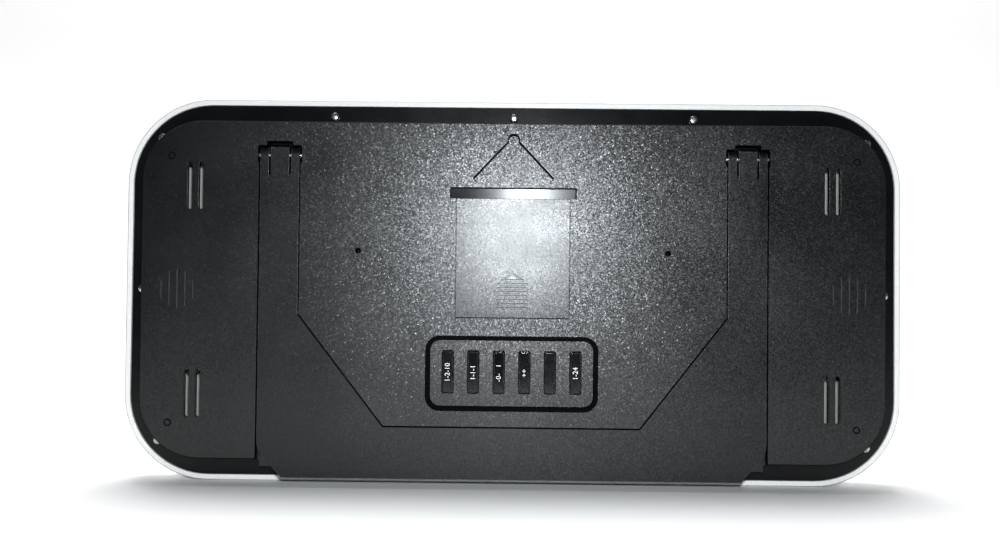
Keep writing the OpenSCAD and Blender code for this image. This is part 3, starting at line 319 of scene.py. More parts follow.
def moulded(
    name, tone, roughness, grain, depth, wear_and_highlight=None, variation=0.25, specular=0.5, tilt=0.0, lean=None
):
    """Moulded plastic: grain, a slow change of tone and gloss, and rubbed edges, whose tone can also paint
    a highlight along them.

    With a tilt the grain glints in small facets, and rare cells get a darker or lighter tone, partly random
    tone and partly painted glints; with a lean the whole surface leans."""
    f = Finish(name)
    slow = f.noise(0.035, 3.0)
    fine = f.noise(grain, 3.0, 0.62)
    cloud = f.spread(slow, 0.3, 0.7, 0.0, 1.0)
    base = f.blend(cloud, lighter(tone, 1.0 - variation), lighter(tone, 1.0 + variation))
    rough = f.spread(f.math("ADD", slow, fine), 0.7, 1.3, roughness - 0.05, roughness + 0.06)
    under = None if lean is None else f.leaning(lean)
    if tilt > 0.0:
        # Rare cells get a darker or a much lighter tone: random tone of the grain, and painted glints where
        # its facets catch the light.
        dark, painted_glint, amount = 0.3, 3.4, 0.8
        cell = f.cells(grain)
        under = f.facets(cell, tilt)
        chance = f.add("ShaderNodeSeparateXYZ")
        f.feed(chance.inputs[0], cell)
        rare = f.math("POWER", chance.outputs["X"], 3.0)
        base = f.blend(amount, base, f.blend(rare, lighter(tone, dark), lighter(tone, painted_glint)))
    # The edge tone is rubbed wear, and for the stand also a painted highlight.
    if wear_and_highlight is not None:
        wear_and_highlight_mask = f.edge()
        base = f.blend(wear_and_highlight_mask, base, rgba(wear_and_highlight))
        rough = f.math("SUBTRACT", rough, f.math("MULTIPLY", wear_and_highlight_mask, 0.1))
    f.set(Base_Color=base, Roughness=rough, Normal=f.bump(fine, depth, under=under))
    f.shader.inputs["Specular IOR Level"].default_value = specular
    return f.material


def painted_shade_finish(name, tone, grain):
    """Painted shade: a dull black at half the tone, for walls, holes and edges where shade falls."""
    return moulded(name, lighter(tone, 0.5), 0.7, grain, 0.00001, specular=0.08)


def metal(name, tone, roughness):
    """Plated steel with fine scratches and a slight stain."""
    f = Finish(name)
    stain = f.noise(0.003, 4.0)
    lines = f.noise(0.0008, 2.0, 0.5, 2.0)
    f.set(
        Base_Color=f.blend(f.spread(stain, 0.35, 0.7, 0.0, 1.0), rgba(tone), lighter(tone, 0.8)),
        Roughness=f.spread(lines, 0.3, 0.7, roughness - 0.06, roughness + 0.1),
        Normal=f.bump(lines, 0.00003),
    )
    f.shader.inputs["Metallic"].default_value = 1.0
    return f.material


def clear(name, tone, alpha, roughness):
    """Clear sheet seen through, with faint smears in its gloss."""
    f = Finish(name)
    smear = f.noise(0.03, 4.0, 0.6, 0.6)
    f.set(
        Base_Color=f.blend(smear, rgba(tone), lighter(tone, 0.9)),
        Roughness=f.spread(smear, 0.3, 0.8, roughness, roughness + 0.05),
        Normal=f.bump(f.noise(0.02, 1.0), 0.00001),
    )
    f.shader.inputs["Alpha"].default_value = alpha
    return f.material


def board_finish(name, tone):
    """Solder mask with faint copper tracks under it."""
    f = Finish(name)
    brick = f.add("ShaderNodeTexBrick")
    turn = f.add("ShaderNodeMapping")
    turn.inputs["Rotation"].default_value = (math.radians(90.0), 0.0, 0.0)
    f.feed(turn.inputs["Vector"], f.place)
    f.feed(brick.inputs["Vector"], turn.outputs["Vector"])
    brick.inputs["Scale"].default_value = 120.0
    brick.inputs["Mortar Size"].default_value = 0.04
    tracks = f.math("SUBTRACT", 1.0, brick.outputs["Fac"])
    f.set(
        Base_Color=f.blend(tracks, lighter(tone, 1.6), rgba(tone)),
        Roughness=f.spread(f.noise(0.002), 0.3, 0.7, 0.3, 0.42),
        Normal=f.bump(tracks, 0.00003),
    )
    return f.material


def jacket_finish(name, tone, top_tone, low, high):
    """Plain printed jacket of a cell, with its upper part in a second tone."""
    f = Finish(name)
    step = f.spread(f.coordinate("Z"), low, high, 0.0, 1.0)
    f.set(
        Base_Color=f.blend(step, rgba(tone), rgba(top_tone)),
        Roughness=f.spread(f.noise(0.004), 0.3, 0.7, 0.22, 0.34),
        Normal=f.bump(f.noise(0.001), 0.00001),
    )
    f.shader.inputs["Metallic"].default_value = 0.4
    return f.material


# ---- Mesh helpers ----


def new_object(name, mesh):
    obj = bpy.data.objects.new(name, mesh)
    bpy.context.scene.collection.objects.link(obj)
    return obj


def paint(names, material):
    """Gives CAD nodes one material."""
    for name in names:
        mesh = frame["nodes"][name].data
        mesh.materials.clear()
        mesh.materials.append(material)


def paint_moulded(rows):
    """Paints CAD nodes: (nodes, finish name, tone, roughness, grain, depth, variation)."""
    for nodes, *values, variation in rows:
        paint(nodes, moulded(*values, variation=variation))


def soften(node, name, width, materials, choose=None, segments=2, bordered=None):
    """A copy of a CAD node with its sharp outer edges rounded, in place of the node.

    choose(face, border) gives a face's material, and bordered(face) tells which faces get
    a border along the walls around them, which choose can fill with painted shadow."""
    weld, border_width = 0.002 * MM, 0.55 * MM
    flat, sharp, crease = math.radians(0.4), math.radians(28.0), math.radians(32.0)
    bm = bmesh.new()
    bm.from_mesh(frame["nodes"][node].data)
    bmesh.ops.remove_doubles(bm, verts=bm.verts, dist=weld)
    bmesh.ops.dissolve_limit(
        bm, angle_limit=flat, use_dissolve_boundaries=False, verts=bm.verts, edges=bm.edges
    )
    mark = bm.faces.layers.float.new("edge")
    border = bm.faces.layers.int.new("border")
    if bordered is not None:
        inner = [face for face in bm.faces if bordered(face)]
        made = bmesh.ops.inset_region(bm, faces=inner, thickness=border_width, use_even_offset=True)
        for face in made["faces"]:
            face[border] = 1
    corners = [
        e for e in bm.edges
        if len(e.link_faces) == 2 and e.is_convex and e.calc_face_angle(0.0) > sharp
    ]
    made = bmesh.ops.bevel(
        bm, geom=corners, offset=width, offset_type="OFFSET", segments=segments, profile=0.5,
        affect="EDGES", clamp_overlap=True,
    )
    for face in made["faces"]:
        face[mark] = 1.0
    bmesh.ops.remove_doubles(bm, verts=bm.verts, dist=weld)
    bmesh.ops.dissolve_degenerate(bm, edges=bm.edges, dist=weld / 2)
    for face in bm.faces:
        face.smooth = True
        if choose is not None:
            face.material_index = choose(face, face[border] == 1)
    for e in bm.edges:
        e.smooth = e.calc_face_angle(0.0) < crease
    mesh = bpy.data.meshes.new(name)
    bm.to_mesh(mesh)
    bm.free()
    for material in materials:
        mesh.materials.append(material)
    obj = new_object(name, mesh)
    even = obj.modifiers.new("Even shading", "WEIGHTED_NORMAL")
    even.keep_sharp = True
    even.weight = 50
    return obj


def settle(obj):
    """Applies the object's modifiers into a plain mesh."""
    mesh = bpy.data.meshes.new_from_object(obj.evaluated_get(bpy.context.evaluated_depsgraph_get()))
    obj.modifiers.clear()
    obj.data = mesh
    return obj


def stand_in(piece, node):
    """The piece takes the node's place and body."""
    record = frame["record"]
    body = next(name for name, nodes in record["behaviour"]["bodies"].items() if node in nodes)
    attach(piece, body)
    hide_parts(node)
    return piece


# ---- Pieces ----


class CLOCK_OT_housing(bpy.types.Operator):
    """Silver-white front housing with its edges rounded"""

    bl_idname = "clock.housing"
    bl_label = "Front housing"

    def execute(self, context):
        s = context.scene.clock_housing
        f = Finish("silver_white_plastic")
        slow = f.spread(f.noise(0.05, 2.0), 0.3, 0.7, 0.0, 1.0)
        base = f.blend(slow, lighter(s.housing_colour, 0.96), rgba(s.housing_colour))
        rough = s.housing_roughness
        # The rounded edges are darkened towards half the housing's tone, broken up by noise: painted shade
        # along the outline.
        f.set(
            Base_Color=f.blend(f.math("MULTIPLY", f.edge(), 0.6), base, lighter(s.housing_colour, 0.5)),
            Roughness=f.spread(f.noise(0.002, 3.0), 0.3, 0.7, rough - 0.04, rough + 0.06),
            Normal=f.bump(f.noise(0.0007, 2.0), 0.00001),
        )
        f.shader.inputs["Coat Weight"].default_value = 0.25
        f.shader.inputs["Coat Roughness"].default_value = 0.12
        # A darker tone for the rounding into the back rim: painted shade of the outline.
        turned = moulded(
            "silver_edge_painted_shade", lighter(s.housing_colour, 0.4), 0.35, 0.0007, 0.00001, variation=0.06
        )
        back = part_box("front_bezel")[1].y

        def choose(face, border):
            """1 on the rounding that turns into the back rim, made darker as painted shade of the rim's
            outline.
            """
            rounded = 0.02 < face.normal.y < LEVEL
            return 1 if rounded and face.calc_center_median().y > back - 1.05 * MM else 0

        piece = soften("front_bezel", "housing", s.edge, [f.material, turned], choose)
        stand_in(settle(piece), "front_bezel")
        paint(["housing_posts"], f.material)
        return {"FINISHED"}


class CLOCK_OT_shell(bpy.types.Operator):
    """Black back shell: coarse grain on the panel, smoother flange, walls and door pocket, with painted
    shade in its recesses, holes and gaps
    """

    bl_idname = "clock.shell"
    bl_label = "Back shell"

    def execute(self, context):
        s = context.scene.clock_shell
        grained = moulded(
            "coarse_grained_black", s.shell_colour, 0.31, s.grain_size, s.grain_depth, s.worn_colour,
            specular=0.45, tilt=s.grain_tilt,
        )
        smooth = moulded(
            "smooth_black", s.shell_colour, 0.2, s.satin_size, 0.000003, s.worn_colour, specular=0.2
        )
        polished = moulded(
            "polished_black", s.shell_colour, 0.168, s.satin_size, 0.000001, s.worn_colour,
            specular=0.095, lean=s.pocket_lean,
        )
        # Dull black at half the shell's tone: painted shade for walls, holes and gaps.
        deep_shade = painted_shade_finish("deep_painted_shade", s.shell_colour, s.satin_size)
        # Lighter tone on the grooves' walls and edges: a painted highlight.
        groove = moulded("groove_painted_highlight", s.groove_highlight_colour, 0.35, s.satin_size, 0.00001)
        low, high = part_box("back_shell")
        door_high, stand_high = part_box("battery_door")[1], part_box("stand")[1]
        pin_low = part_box("hinge_pins")[0]
        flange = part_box("shell_screws")[1].y
        panel = high.y
        skin = panel - 0.4 * MM
        middle = (low.z + high.z) / 2
        pocket_top, recess_top = door_high.z + 8 * MM, high.z - 12 * MM

        def slopes_down(face):
            """True for a border strip that lies under an upper or slanted wall, where a painted shadow
            goes.
            """
            low_z = min(v.co.z for v in face.verts)
            wide = max(v.co.x for v in face.verts) - min(v.co.x for v in face.verts)
            tall = max(v.co.z for v in face.verts) - low_z
            upper = low_z > door_high.z + 3 * MM and not pocket_top < low_z < pocket_top + 6 * MM
            return tall > 0.3 * wide or upper

        def in_pocket(c):
            return abs(c.x) < door_high.x + 4 * MM and door_high.z - MM < c.z < pocket_top

        def at_outline(c):
            """True within 3 mm of the rounded outline of the raised panel."""
            half = Vector((high.x, (high.z - low.z) / 2)) - Vector((1.0, 1.0)) * s.panel_inset
            over = Vector((abs(c.x), abs(c.z - middle))) - half + Vector((1.0, 1.0)) * s.panel_radius
            away = Vector((max(over.x, 0.0), max(over.y, 0.0))).length + min(max(over), 0.0)
            return abs(away - s.panel_radius) < 3 * MM

        def near(c, aside, up, reach):
            """True around a spot that lies to the left and right of the middle."""
            return abs(abs(c.x) - aside) < reach and abs(c.z - middle - up) < reach

        def bordered(face):
            """True for the floors of the hanging recess and of the door's pocket, which get a border along
            their walls for painted shadow.
            """
            c = face.calc_center_median()
            recess = abs(c.x) < 20 * MM and pocket_top < c.z < recess_top
            return face.normal.y > 0.99 and flange < c.y < panel - MM and (recess or in_pocket(c))

        def choose(face, border):
            """The material slot of a face, by where it lies and where it faces; walls, holes and gaps get
            painted shade.
            """
            c, n = face.calc_center_median(), face.normal
            # Border strips under upper or slanted walls get a painted shadow.
            if border:
                return PAINTED_SHADE if slopes_down(face) else POLISHED if in_pocket(c) else GRAINED
            if in_pocket(c) and n.y > 0.9 and c.y < panel - MM:
                return POLISHED
            # Faces sunk into the small corner marks get painted shade.
            from_mark = math.hypot(abs(c.x) - s.mark_x, abs(c.z - middle) - s.mark_z)
            if from_mark < 2.1 * MM and c.y < panel - 0.05 * MM:
                return PAINTED_SHADE
            # Faces inside the blind holes get painted shade.
            if c.y < skin and near(c, s.blind_x, s.blind_z, 2 * MM):
                return PAINTED_SHADE
            # Walls of the recesses within the stand's width get painted shade, save those that face up near
            # the face.
            inside = abs(c.x) < stand_high.x + 1.2 * MM and c.z < recess_top
            if inside and n.y < LEVEL and flange + 3 * MM < c.y < panel - 0.02 * MM:
                return SMOOTH if n.z > 0.2 and c.y > skin else PAINTED_SHADE
            # Faces sunk into the hinge pockets get painted shade.
            at_arm = 50 * MM < abs(c.x) < stand_high.x + 2 * MM
            if at_arm and pin_low.z < c.z < stand_high.z + 4 * MM and c.y < panel - MM:
                return PAINTED_SHADE
            # Walls and edges of the grilles' grooves get a painted highlight.
            if near(c, s.grille_x, 0.0, s.grille_reach) and n.y < LEVEL and panel - MM < c.y:
                return GROOVE_HIGHLIGHT
            # The rounded outline of the raised panel gets painted shade.
            if n.y < LEVEL and c.y > panel - MM and at_outline(c):
                return PAINTED_SHADE
            return SMOOTH if n.y < LEVEL or c.y < flange else GRAINED

        materials = [grained, smooth, polished, deep_shade, groove]
        piece = soften("back_shell", "shell", s.edge, materials, choose, bordered=bordered)
        stand_in(settle(piece), "back_shell")
        return {"FINISHED"}


class CLOCK_OT_stand(bpy.types.Operator):
    """Fold-out stand in satin black plastic"""

    bl_idname = "clock.stand"
    bl_label = "Stand"

    def execute(self, context):
        s = context.scene.clock_shell
        # The stand's lighter edge tone is rubbed wear and a painted highlight along its edges.
        satin = moulded(
            "satin_black", s.stand_colour, 0.32, s.satin_size, s.satin_depth, s.stand_wear_and_highlight,
            specular=0.36, tilt=s.satin_tilt,
        )
        # Dull black for the crossbar's upper edges: painted shade.
        shade = painted_shade_finish("stand_edge_painted_shade", s.stand_colour, s.satin_size)
        low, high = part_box("stand")

        def choose(face, border):
            """1 on the upper edges of the crossbar and of its slanted corners: painted shade in the gap
            there.
            """
            n = face.normal
            upwards = n.z > 0.4 * math.hypot(n.x, n.z) and -0.1 < n.y < 0.985
            return 1 if upwards and face.calc_center_median().z < (low.z + high.z) / 2 else 0

        piece = soften("stand", "fold_out_stand", s.stand_edge, [satin, shade], choose, segments=3)
        stand_in(settle(piece), "stand")
        return {"FINISHED"}


class CLOCK_OT_door(bpy.types.Operator):
    """Battery door in satin black plastic"""

    bl_idname = "clock.door"
    bl_label = "Battery door"

    def execute(self, context):
        s = context.scene.clock_shell
        satin = moulded(
            "door_satin_black", s.stand_colour, 0.29, s.satin_size, 0.000001, s.worn_colour,
            specular=0.42, tilt=s.door_tilt,
        )
        # Dull black for the door's outline and ridge edges: painted shade.
        shade = painted_shade_finish("door_edge_painted_shade", s.stand_colour, s.satin_size)
        low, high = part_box("battery_door")

        def choose(face, border):
            """1 on the door's outline and on the edges of its ridges that face down: painted shade in the
            gaps around the door and under its ridges.
            """
            c = face.calc_center_median()
            outside = abs(c.x) > high.x - MM or not low.z + MM < c.z < high.z - MM
            return 1 if -0.5 < face.normal.y < LEVEL and (outside or face.normal.z < -0.1) else 0

        piece = soften("battery_door", "sliding_door", s.door_edge, [satin, shade], choose)
        stand_in(settle(piece), "battery_door")
        return {"FINISHED"}


class CLOCK_OT_buttons(bpy.types.Operator):
    """Glossy caps with printed marks, and the plungers under them"""

    bl_idname = "clock.buttons"
    bl_label = "Buttons"

    def execute(self, context):
        s = context.scene.clock_buttons
        glossy = moulded(
            "glossy_black_cap", s.cap_colour, s.cap_roughness, 0.0009, 0.000004, s.rubbed_colour,
            specular=0.3,
        )
        ink = moulded("white_print", s.legend_colour, 0.5, 0.0004, 0.000005, variation=0.08)
        paint(PLUNGERS, moulded("ivory_plastic", (0.6, 0.56, 0.46), 0.45, 0.0008, 0.00001))
        marks = s.legends.split(",")
        for node, mark in zip(CAPS, marks):
            stand_in(settle(soften(node, f"cap_{node[-1]}", s.edge, [glossy], segments=3)), node)
            if mark.strip():
                self.print_mark(s, node, mark, ink)
        return {"FINISHED"}

    def print_mark(self, s, node, mark, ink):
        """Sunk print that reads from the top of a cap to its foot."""
        low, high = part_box(node)
        curve = bpy.data.curves.new("mark", "FONT")
        curve.body = mark
        curve.align_x, curve.align_y = "CENTER", "CENTER"
        curve.size = s.legend_height / 0.7  # a digit is 0.7 of the font's size
        curve.extrude = s.legend_sink
        curve.resolution_u = 3
        text = new_object("mark", curve)
        mesh = bpy.data.meshes.new_from_object(text.evaluated_get(bpy.context.evaluated_depsgraph_get()))
        bpy.data.objects.remove(text)
        centre = (low + high) / 2
        upright = Matrix.Rotation(math.pi, 4, "Z") @ Matrix.Rotation(math.pi / 2, 4, "X")
        down = Matrix.Rotation(math.pi / 2, 4, "Y")
        mesh.transform(Matrix.Translation((centre.x, high.y, centre.z - 0.2 * MM)) @ down @ upright)
        mesh.materials.clear()
        mesh.materials.append(ink)
        piece = new_object(f"mark_{node[-1]}", mesh)
        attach(piece, node)


class CLOCK_OT_screws(bpy.types.Operator):
    """Cross-head screws around the flange, one pattern set at every place"""

    bl_idname = "clock.screws"
    bl_label = "Shell screws"

    def execute(self, context):
        s = context.scene.clock_screws
        steel = metal("plated_steel", (0.62, 0.62, 0.63), 0.24)
        paint(
            ["board_screws", "carrier_screws", "button_board_screws", "hinge_pins", "quartz_crystal"], steel
        )
        seats = screw_seats("shell_screws", s.head_radius)
        low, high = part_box("shell_screws")
        pattern = new_object("screw_pattern", screw_mesh(s.head_radius, high.y - low.y))
        field = new_object("screws", bpy.data.meshes.new("screws"))
        field.data.from_pydata([(x, high.y, z) for x, z in seats], [], [])
        tree = set_out_tree("Screw layout", steel)
        give(field, tree, {"Pattern": pattern, "Seed": s.turn_seed, "Turn": math.pi})
        piece = settle(field)
        bpy.data.objects.remove(pattern)
        stand_in(piece, "shell_screws")
        return {"FINISHED"}


def screw_seats(node, radius):
    """Centres of the screw heads of a node, read from its highest points."""
    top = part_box(node)[1].y
    points = [v.co for v in frame["nodes"][node].data.vertices if v.co.y > top - 0.4 * MM]
    seats = []
    for p in points:
        for group in seats:
            if abs(group[0].x - p.x) < 2 * radius and abs(group[0].z - p.z) < 2 * radius:
                group.append(p)
                break
        else:
            seats.append([p])
    return [
        (
            (min(p.x for p in group) + max(p.x for p in group)) / 2,
            (min(p.z for p in group) + max(p.z for p in group)) / 2,
        )
        for group in seats
    ]


def screw_mesh(radius, depth):
    """Pan-head screw with a cross recess, its top at the origin and pointing to +Y."""
    head = 0.7 * radius
    shank = radius / 2
    outline = [
        (0.0, -depth), (shank * 0.5, -depth), (shank, shank - depth), (shank, -head), (radius, -head),
        (radius, -head * 0.55), (radius * 0.95, -head * 0.38), (radius * 0.82, -head * 0.2),
        (radius * 0.6, -head * 0.07), (radius * 0.3, 0.0), (0.0, 0.0),
    ]
    bm = bmesh.new()
    rows = [bm.verts.new((r, y, 0.0)) for r, y in outline]
    edges = [bm.edges.new(pair) for pair in zip(rows, rows[1:])]
    bmesh.ops.spin(
        bm, geom=rows + edges, cent=(0, 0, 0), axis=(0, 1, 0), angle=2 * math.pi, steps=32, use_merge=True
    )
    bmesh.ops.remove_doubles(bm, verts=bm.verts, dist=0.000001)
    bmesh.ops.recalc_face_normals(bm, faces=bm.faces)
    body = bpy.data.meshes.new("screw_body")
    bm.to_mesh(body)
    bm.free()
    cross = bmesh.new()
    for turn in (0.0, math.pi / 2):
        place = (
            Matrix.Rotation(turn, 4, "Y")
            @ Matrix.Diagonal((0.26 * radius, 0.8 * head, 1.2 * radius, 1.0))
        )
        bmesh.ops.create_cube(cross, size=1.0, matrix=place)
    for v in cross.verts:
        if v.co.y < 0:
            v.co.x *= 0.7
            v.co.z *= 0.7
    tool_mesh = bpy.data.meshes.new("screw_cross")
    cross.to_mesh(tool_mesh)
    cross.free()
    blank = new_object("screw_blank", body)
    tool = new_object("screw_tool", tool_mesh)
    cut = blank.modifiers.new("Cross recess", "BOOLEAN")
    cut.operation = "DIFFERENCE"
    cut.object = tool
    cut.solver = "EXACT"
    cut.use_self = True
    mesh = bpy.data.meshes.new_from_object(blank.evaluated_get(bpy.context.evaluated_depsgraph_get()))
    for obj in (blank, tool):
        bpy.data.objects.remove(obj)
    for face in mesh.polygons:
        face.use_smooth = True
    mesh.set_sharp_from_angle(angle=math.radians(35))
    return mesh


# ---- Geometry node trees ----


def tree_with(name, inputs):
    """An empty geometry node tree with named inputs: (name, socket type, default)."""
    tree = bpy.data.node_groups.new(name, "GeometryNodeTree")
    tree.interface.new_socket("Geometry", in_out="INPUT", socket_type="NodeSocketGeometry")
    for title, kind, default in inputs:
        socket = tree.interface.new_socket(title, in_out="INPUT", socket_type=kind)
        if default is not None:
            socket.default_value = default
    tree.interface.new_socket("Geometry", in_out="OUTPUT", socket_type="NodeSocketGeometry")
    return tree


def finish_tree(tree, spots, leave, material):
    """Makes the instances real and gives them their material."""
    real = tree.nodes.new("GeometryNodeRealizeInstances")
    dress = tree.nodes.new("GeometryNodeSetMaterial")
    dress.inputs["Material"].default_value = material
    tree.links.new(spots.outputs[0], real.inputs[0])
    tree.links.new(real.outputs[0], dress.inputs["Geometry"])
    tree.links.new(dress.outputs[0], leave.inputs[0])


def set_out_tree(name, material):
    """Sets a pattern at every point, turned about Y by a seeded amount."""
    tree = tree_with(name, [
        ("Pattern", "NodeSocketObject", None), ("Turn", "NodeSocketFloat", 0.0),
        ("Seed", "NodeSocketInt", 0),
    ])
    node, join = tree.nodes.new, tree.links.new
    entry, leave = node("NodeGroupInput"), node("NodeGroupOutput")
    info, axes = node("GeometryNodeObjectInfo"), node("ShaderNodeCombineXYZ")
    spots, turn = node("GeometryNodeInstanceOnPoints"), node("FunctionNodeRandomValue")
    turn.data_type = "FLOAT"
    join(entry.outputs["Pattern"], info.inputs["Object"])
    join(entry.outputs["Turn"], turn.inputs[3])
    join(entry.outputs["Seed"], turn.inputs["Seed"])
    join(turn.outputs[1], axes.inputs["Y"])
    join(entry.outputs["Geometry"], spots.inputs["Points"])
    join(info.outputs["Geometry"], spots.inputs["Instance"])
    join(axes.outputs[0], spots.inputs["Rotation"])
    finish_tree(tree, spots, leave, material)
    return tree


def coil_tree(name, material):
    """A conical coil of round wire that stands up along Z at every point."""
    tree = tree_with(name, [
        ("Wire radius", "NodeSocketFloat", 0.0004), ("Turns", "NodeSocketFloat", 4.0),
        ("Wide end", "NodeSocketFloat", 0.005), ("Narrow end", "NodeSocketFloat", 0.003),
        ("Height", "NodeSocketFloat", 0.006),
    ])
    node, join = tree.nodes.new, tree.links.new
    entry, leave = node("NodeGroupInput"), node("NodeGroupOutput")
    coil, ring = node("GeometryNodeCurveSpiral"), node("GeometryNodeCurvePrimitiveCircle")
    tube, spots = node("GeometryNodeCurveToMesh"), node("GeometryNodeInstanceOnPoints")
    turn = node("GeometryNodeInputNamedAttribute")
    turn.data_type = "FLOAT_VECTOR"
    turn.inputs["Name"].default_value = "turn"
    coil.inputs["Resolution"].default_value = 28
    ring.inputs["Resolution"].default_value = 10
    join(entry.outputs["Turns"], coil.inputs["Rotations"])
    join(entry.outputs["Wide end"], coil.inputs["Start Radius"])
    join(entry.outputs["Narrow end"], coil.inputs["End Radius"])
    join(entry.outputs["Height"], coil.inputs["Height"])
    join(entry.outputs["Wire radius"], ring.inputs["Radius"])
    join(coil.outputs[0], tube.inputs["Curve"])
    join(ring.outputs[0], tube.inputs["Profile Curve"])
    tube.inputs["Fill Caps"].default_value = True
    join(entry.outputs["Geometry"], spots.inputs["Points"])
    join(tube.outputs[0], spots.inputs["Instance"])
    join(turn.outputs["Attribute"], spots.inputs["Rotation"])
    finish_tree(tree, spots, leave, material)
    return tree


def give(obj, tree, values):
    """Adds the tree as a modifier and sets its inputs by their identifiers."""
    layout = obj.modifiers.new(tree.name, "NODES")
    layout.node_group = tree
    for item in tree.interface.items_tree:
        if item.in_out == "INPUT" and item.name in values:
            layout[item.identifier] = values[item.name]


class CLOCK_OT_power(bpy.types.Operator):
    """Cells, springs, contact plates and their leads"""

    bl_idname = "clock.power"
    bl_label = "Cells and contacts"

    def execute(self, context):
        s = context.scene.clock_springs
        plated = metal("plated_contact", (0.66, 0.66, 0.64), 0.2)
        paint(["battery_contacts"], plated)
        low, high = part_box("battery_1")
        split = low.z + 0.72 * (high.z - low.z)
        jacket = jacket_finish("cell_jacket", (0.05, 0.07, 0.1), (0.42, 0.44, 0.46), split, split + 0.0002)
        paint(CELLS, jacket)
        insulation = moulded("lead_insulation", (0.05, 0.012, 0.012), 0.4, 0.0006, 0.000008)
        paint(["battery_leads", "buzzer_leads", "sensor_leads"], insulation)
        spring_low, spring_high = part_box("battery_springs")
        height = low.z - spring_low.z - 0.05 * MM
        field = new_object("springs", bpy.data.meshes.new("springs"))
        spots, turns = [], []
        for name in CELLS:
            a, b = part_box(name)
            middle = (a + b) / 2
            upright = name != CELLS[1]
            foot = spring_low.z + s.wire if upright else spring_high.z - s.wire
            spots.append((middle.x, middle.y, foot))
            turns.append((0.0, 0.0, 0.0) if upright else (math.pi, 0.0, 0.0))
        field.data.from_pydata(spots, [], [])
        layer = field.data.attributes.new("turn", "FLOAT_VECTOR", "POINT")
        for item, turn in zip(layer.data, turns):
            item.vector = turn
        give(field, coil_tree("Battery springs", plated), {
            "Wire radius": s.wire, "Turns": s.turns, "Wide end": s.wide, "Narrow end": s.narrow,
            "Height": height - 2 * s.wire,
        })
        piece = settle(field)
        for face in piece.data.polygons:
            face.use_smooth = True
        stand_in(piece, "battery_springs")
        return {"FINISHED"}


class CLOCK_OT_display(bpy.types.Operator):
    """Pane, LCD sheets, segments, reflector and carrier"""

    bl_idname = "clock.display"
    bl_label = "Display"

    def execute(self, context):
        paint(["front_pane"], clear("clear_pane", (0.08, 0.085, 0.085), 0.1, 0.03))
        paint(["lcd_front_glass"], clear("lcd_glass", (0.06, 0.07, 0.055), 0.08, 0.06))
        paint_moulded((
            (["lcd_rear_glass"], "lcd_ground", (0.42, 0.46, 0.38), 0.4, 0.001, 0.000003, 0.04),
            (["lcd_segments"], "lcd_dark", (0.006, 0.009, 0.008), 0.5, 0.002, 0.000003, 0.25),
            (["lcd_reflector"], "reflector_film", (0.56, 0.6, 0.52), 0.5, 0.001, 0.00001, 0.06),
            (["pane_tape"], "foam_tape", (0.02, 0.02, 0.02), 0.8, 0.0006, 0.00005, 0.25),
            (["lcd_carrier"], "pale_carrier", (0.4, 0.385, 0.36), 0.5, 0.0012, 0.00002, 0.05),
            (["connector_strip"], "contact_rubber", (0.5, 0.25, 0.28), 0.7, 0.0005, 0.00003, 0.25),
        ))
        return {"FINISHED"}


class CLOCK_OT_electronics(bpy.types.Operator):
    """Boards and what stands on them"""

    bl_idname = "clock.electronics"
    bl_label = "Boards"

    def execute(self, context):
        solder_mask = board_finish("solder_mask", (0.02, 0.13, 0.05))
        paint(["main_board", "button_board", "temperature_sensor"], solder_mask)
        paint_moulded((
            (["clock_chip"], "resin_drop", (0.008, 0.008, 0.008), 0.2, 0.003, 0.00002, 0.25),
            (["capacitors"], "capacitor_sleeve", (0.02, 0.03, 0.12), 0.3, 0.001, 0.00001, 0.25),
            (["switches", "buzzer"], "switch_black", (0.015, 0.015, 0.015), 0.5, 0.0008, 0.00002, 0.25),
            (["flat_cable"], "cable_film", (0.6, 0.61, 0.63), 0.35, 0.001, 0.00001, 0.05),
        ))
        return {"FINISHED"}


# ---- Stage ----


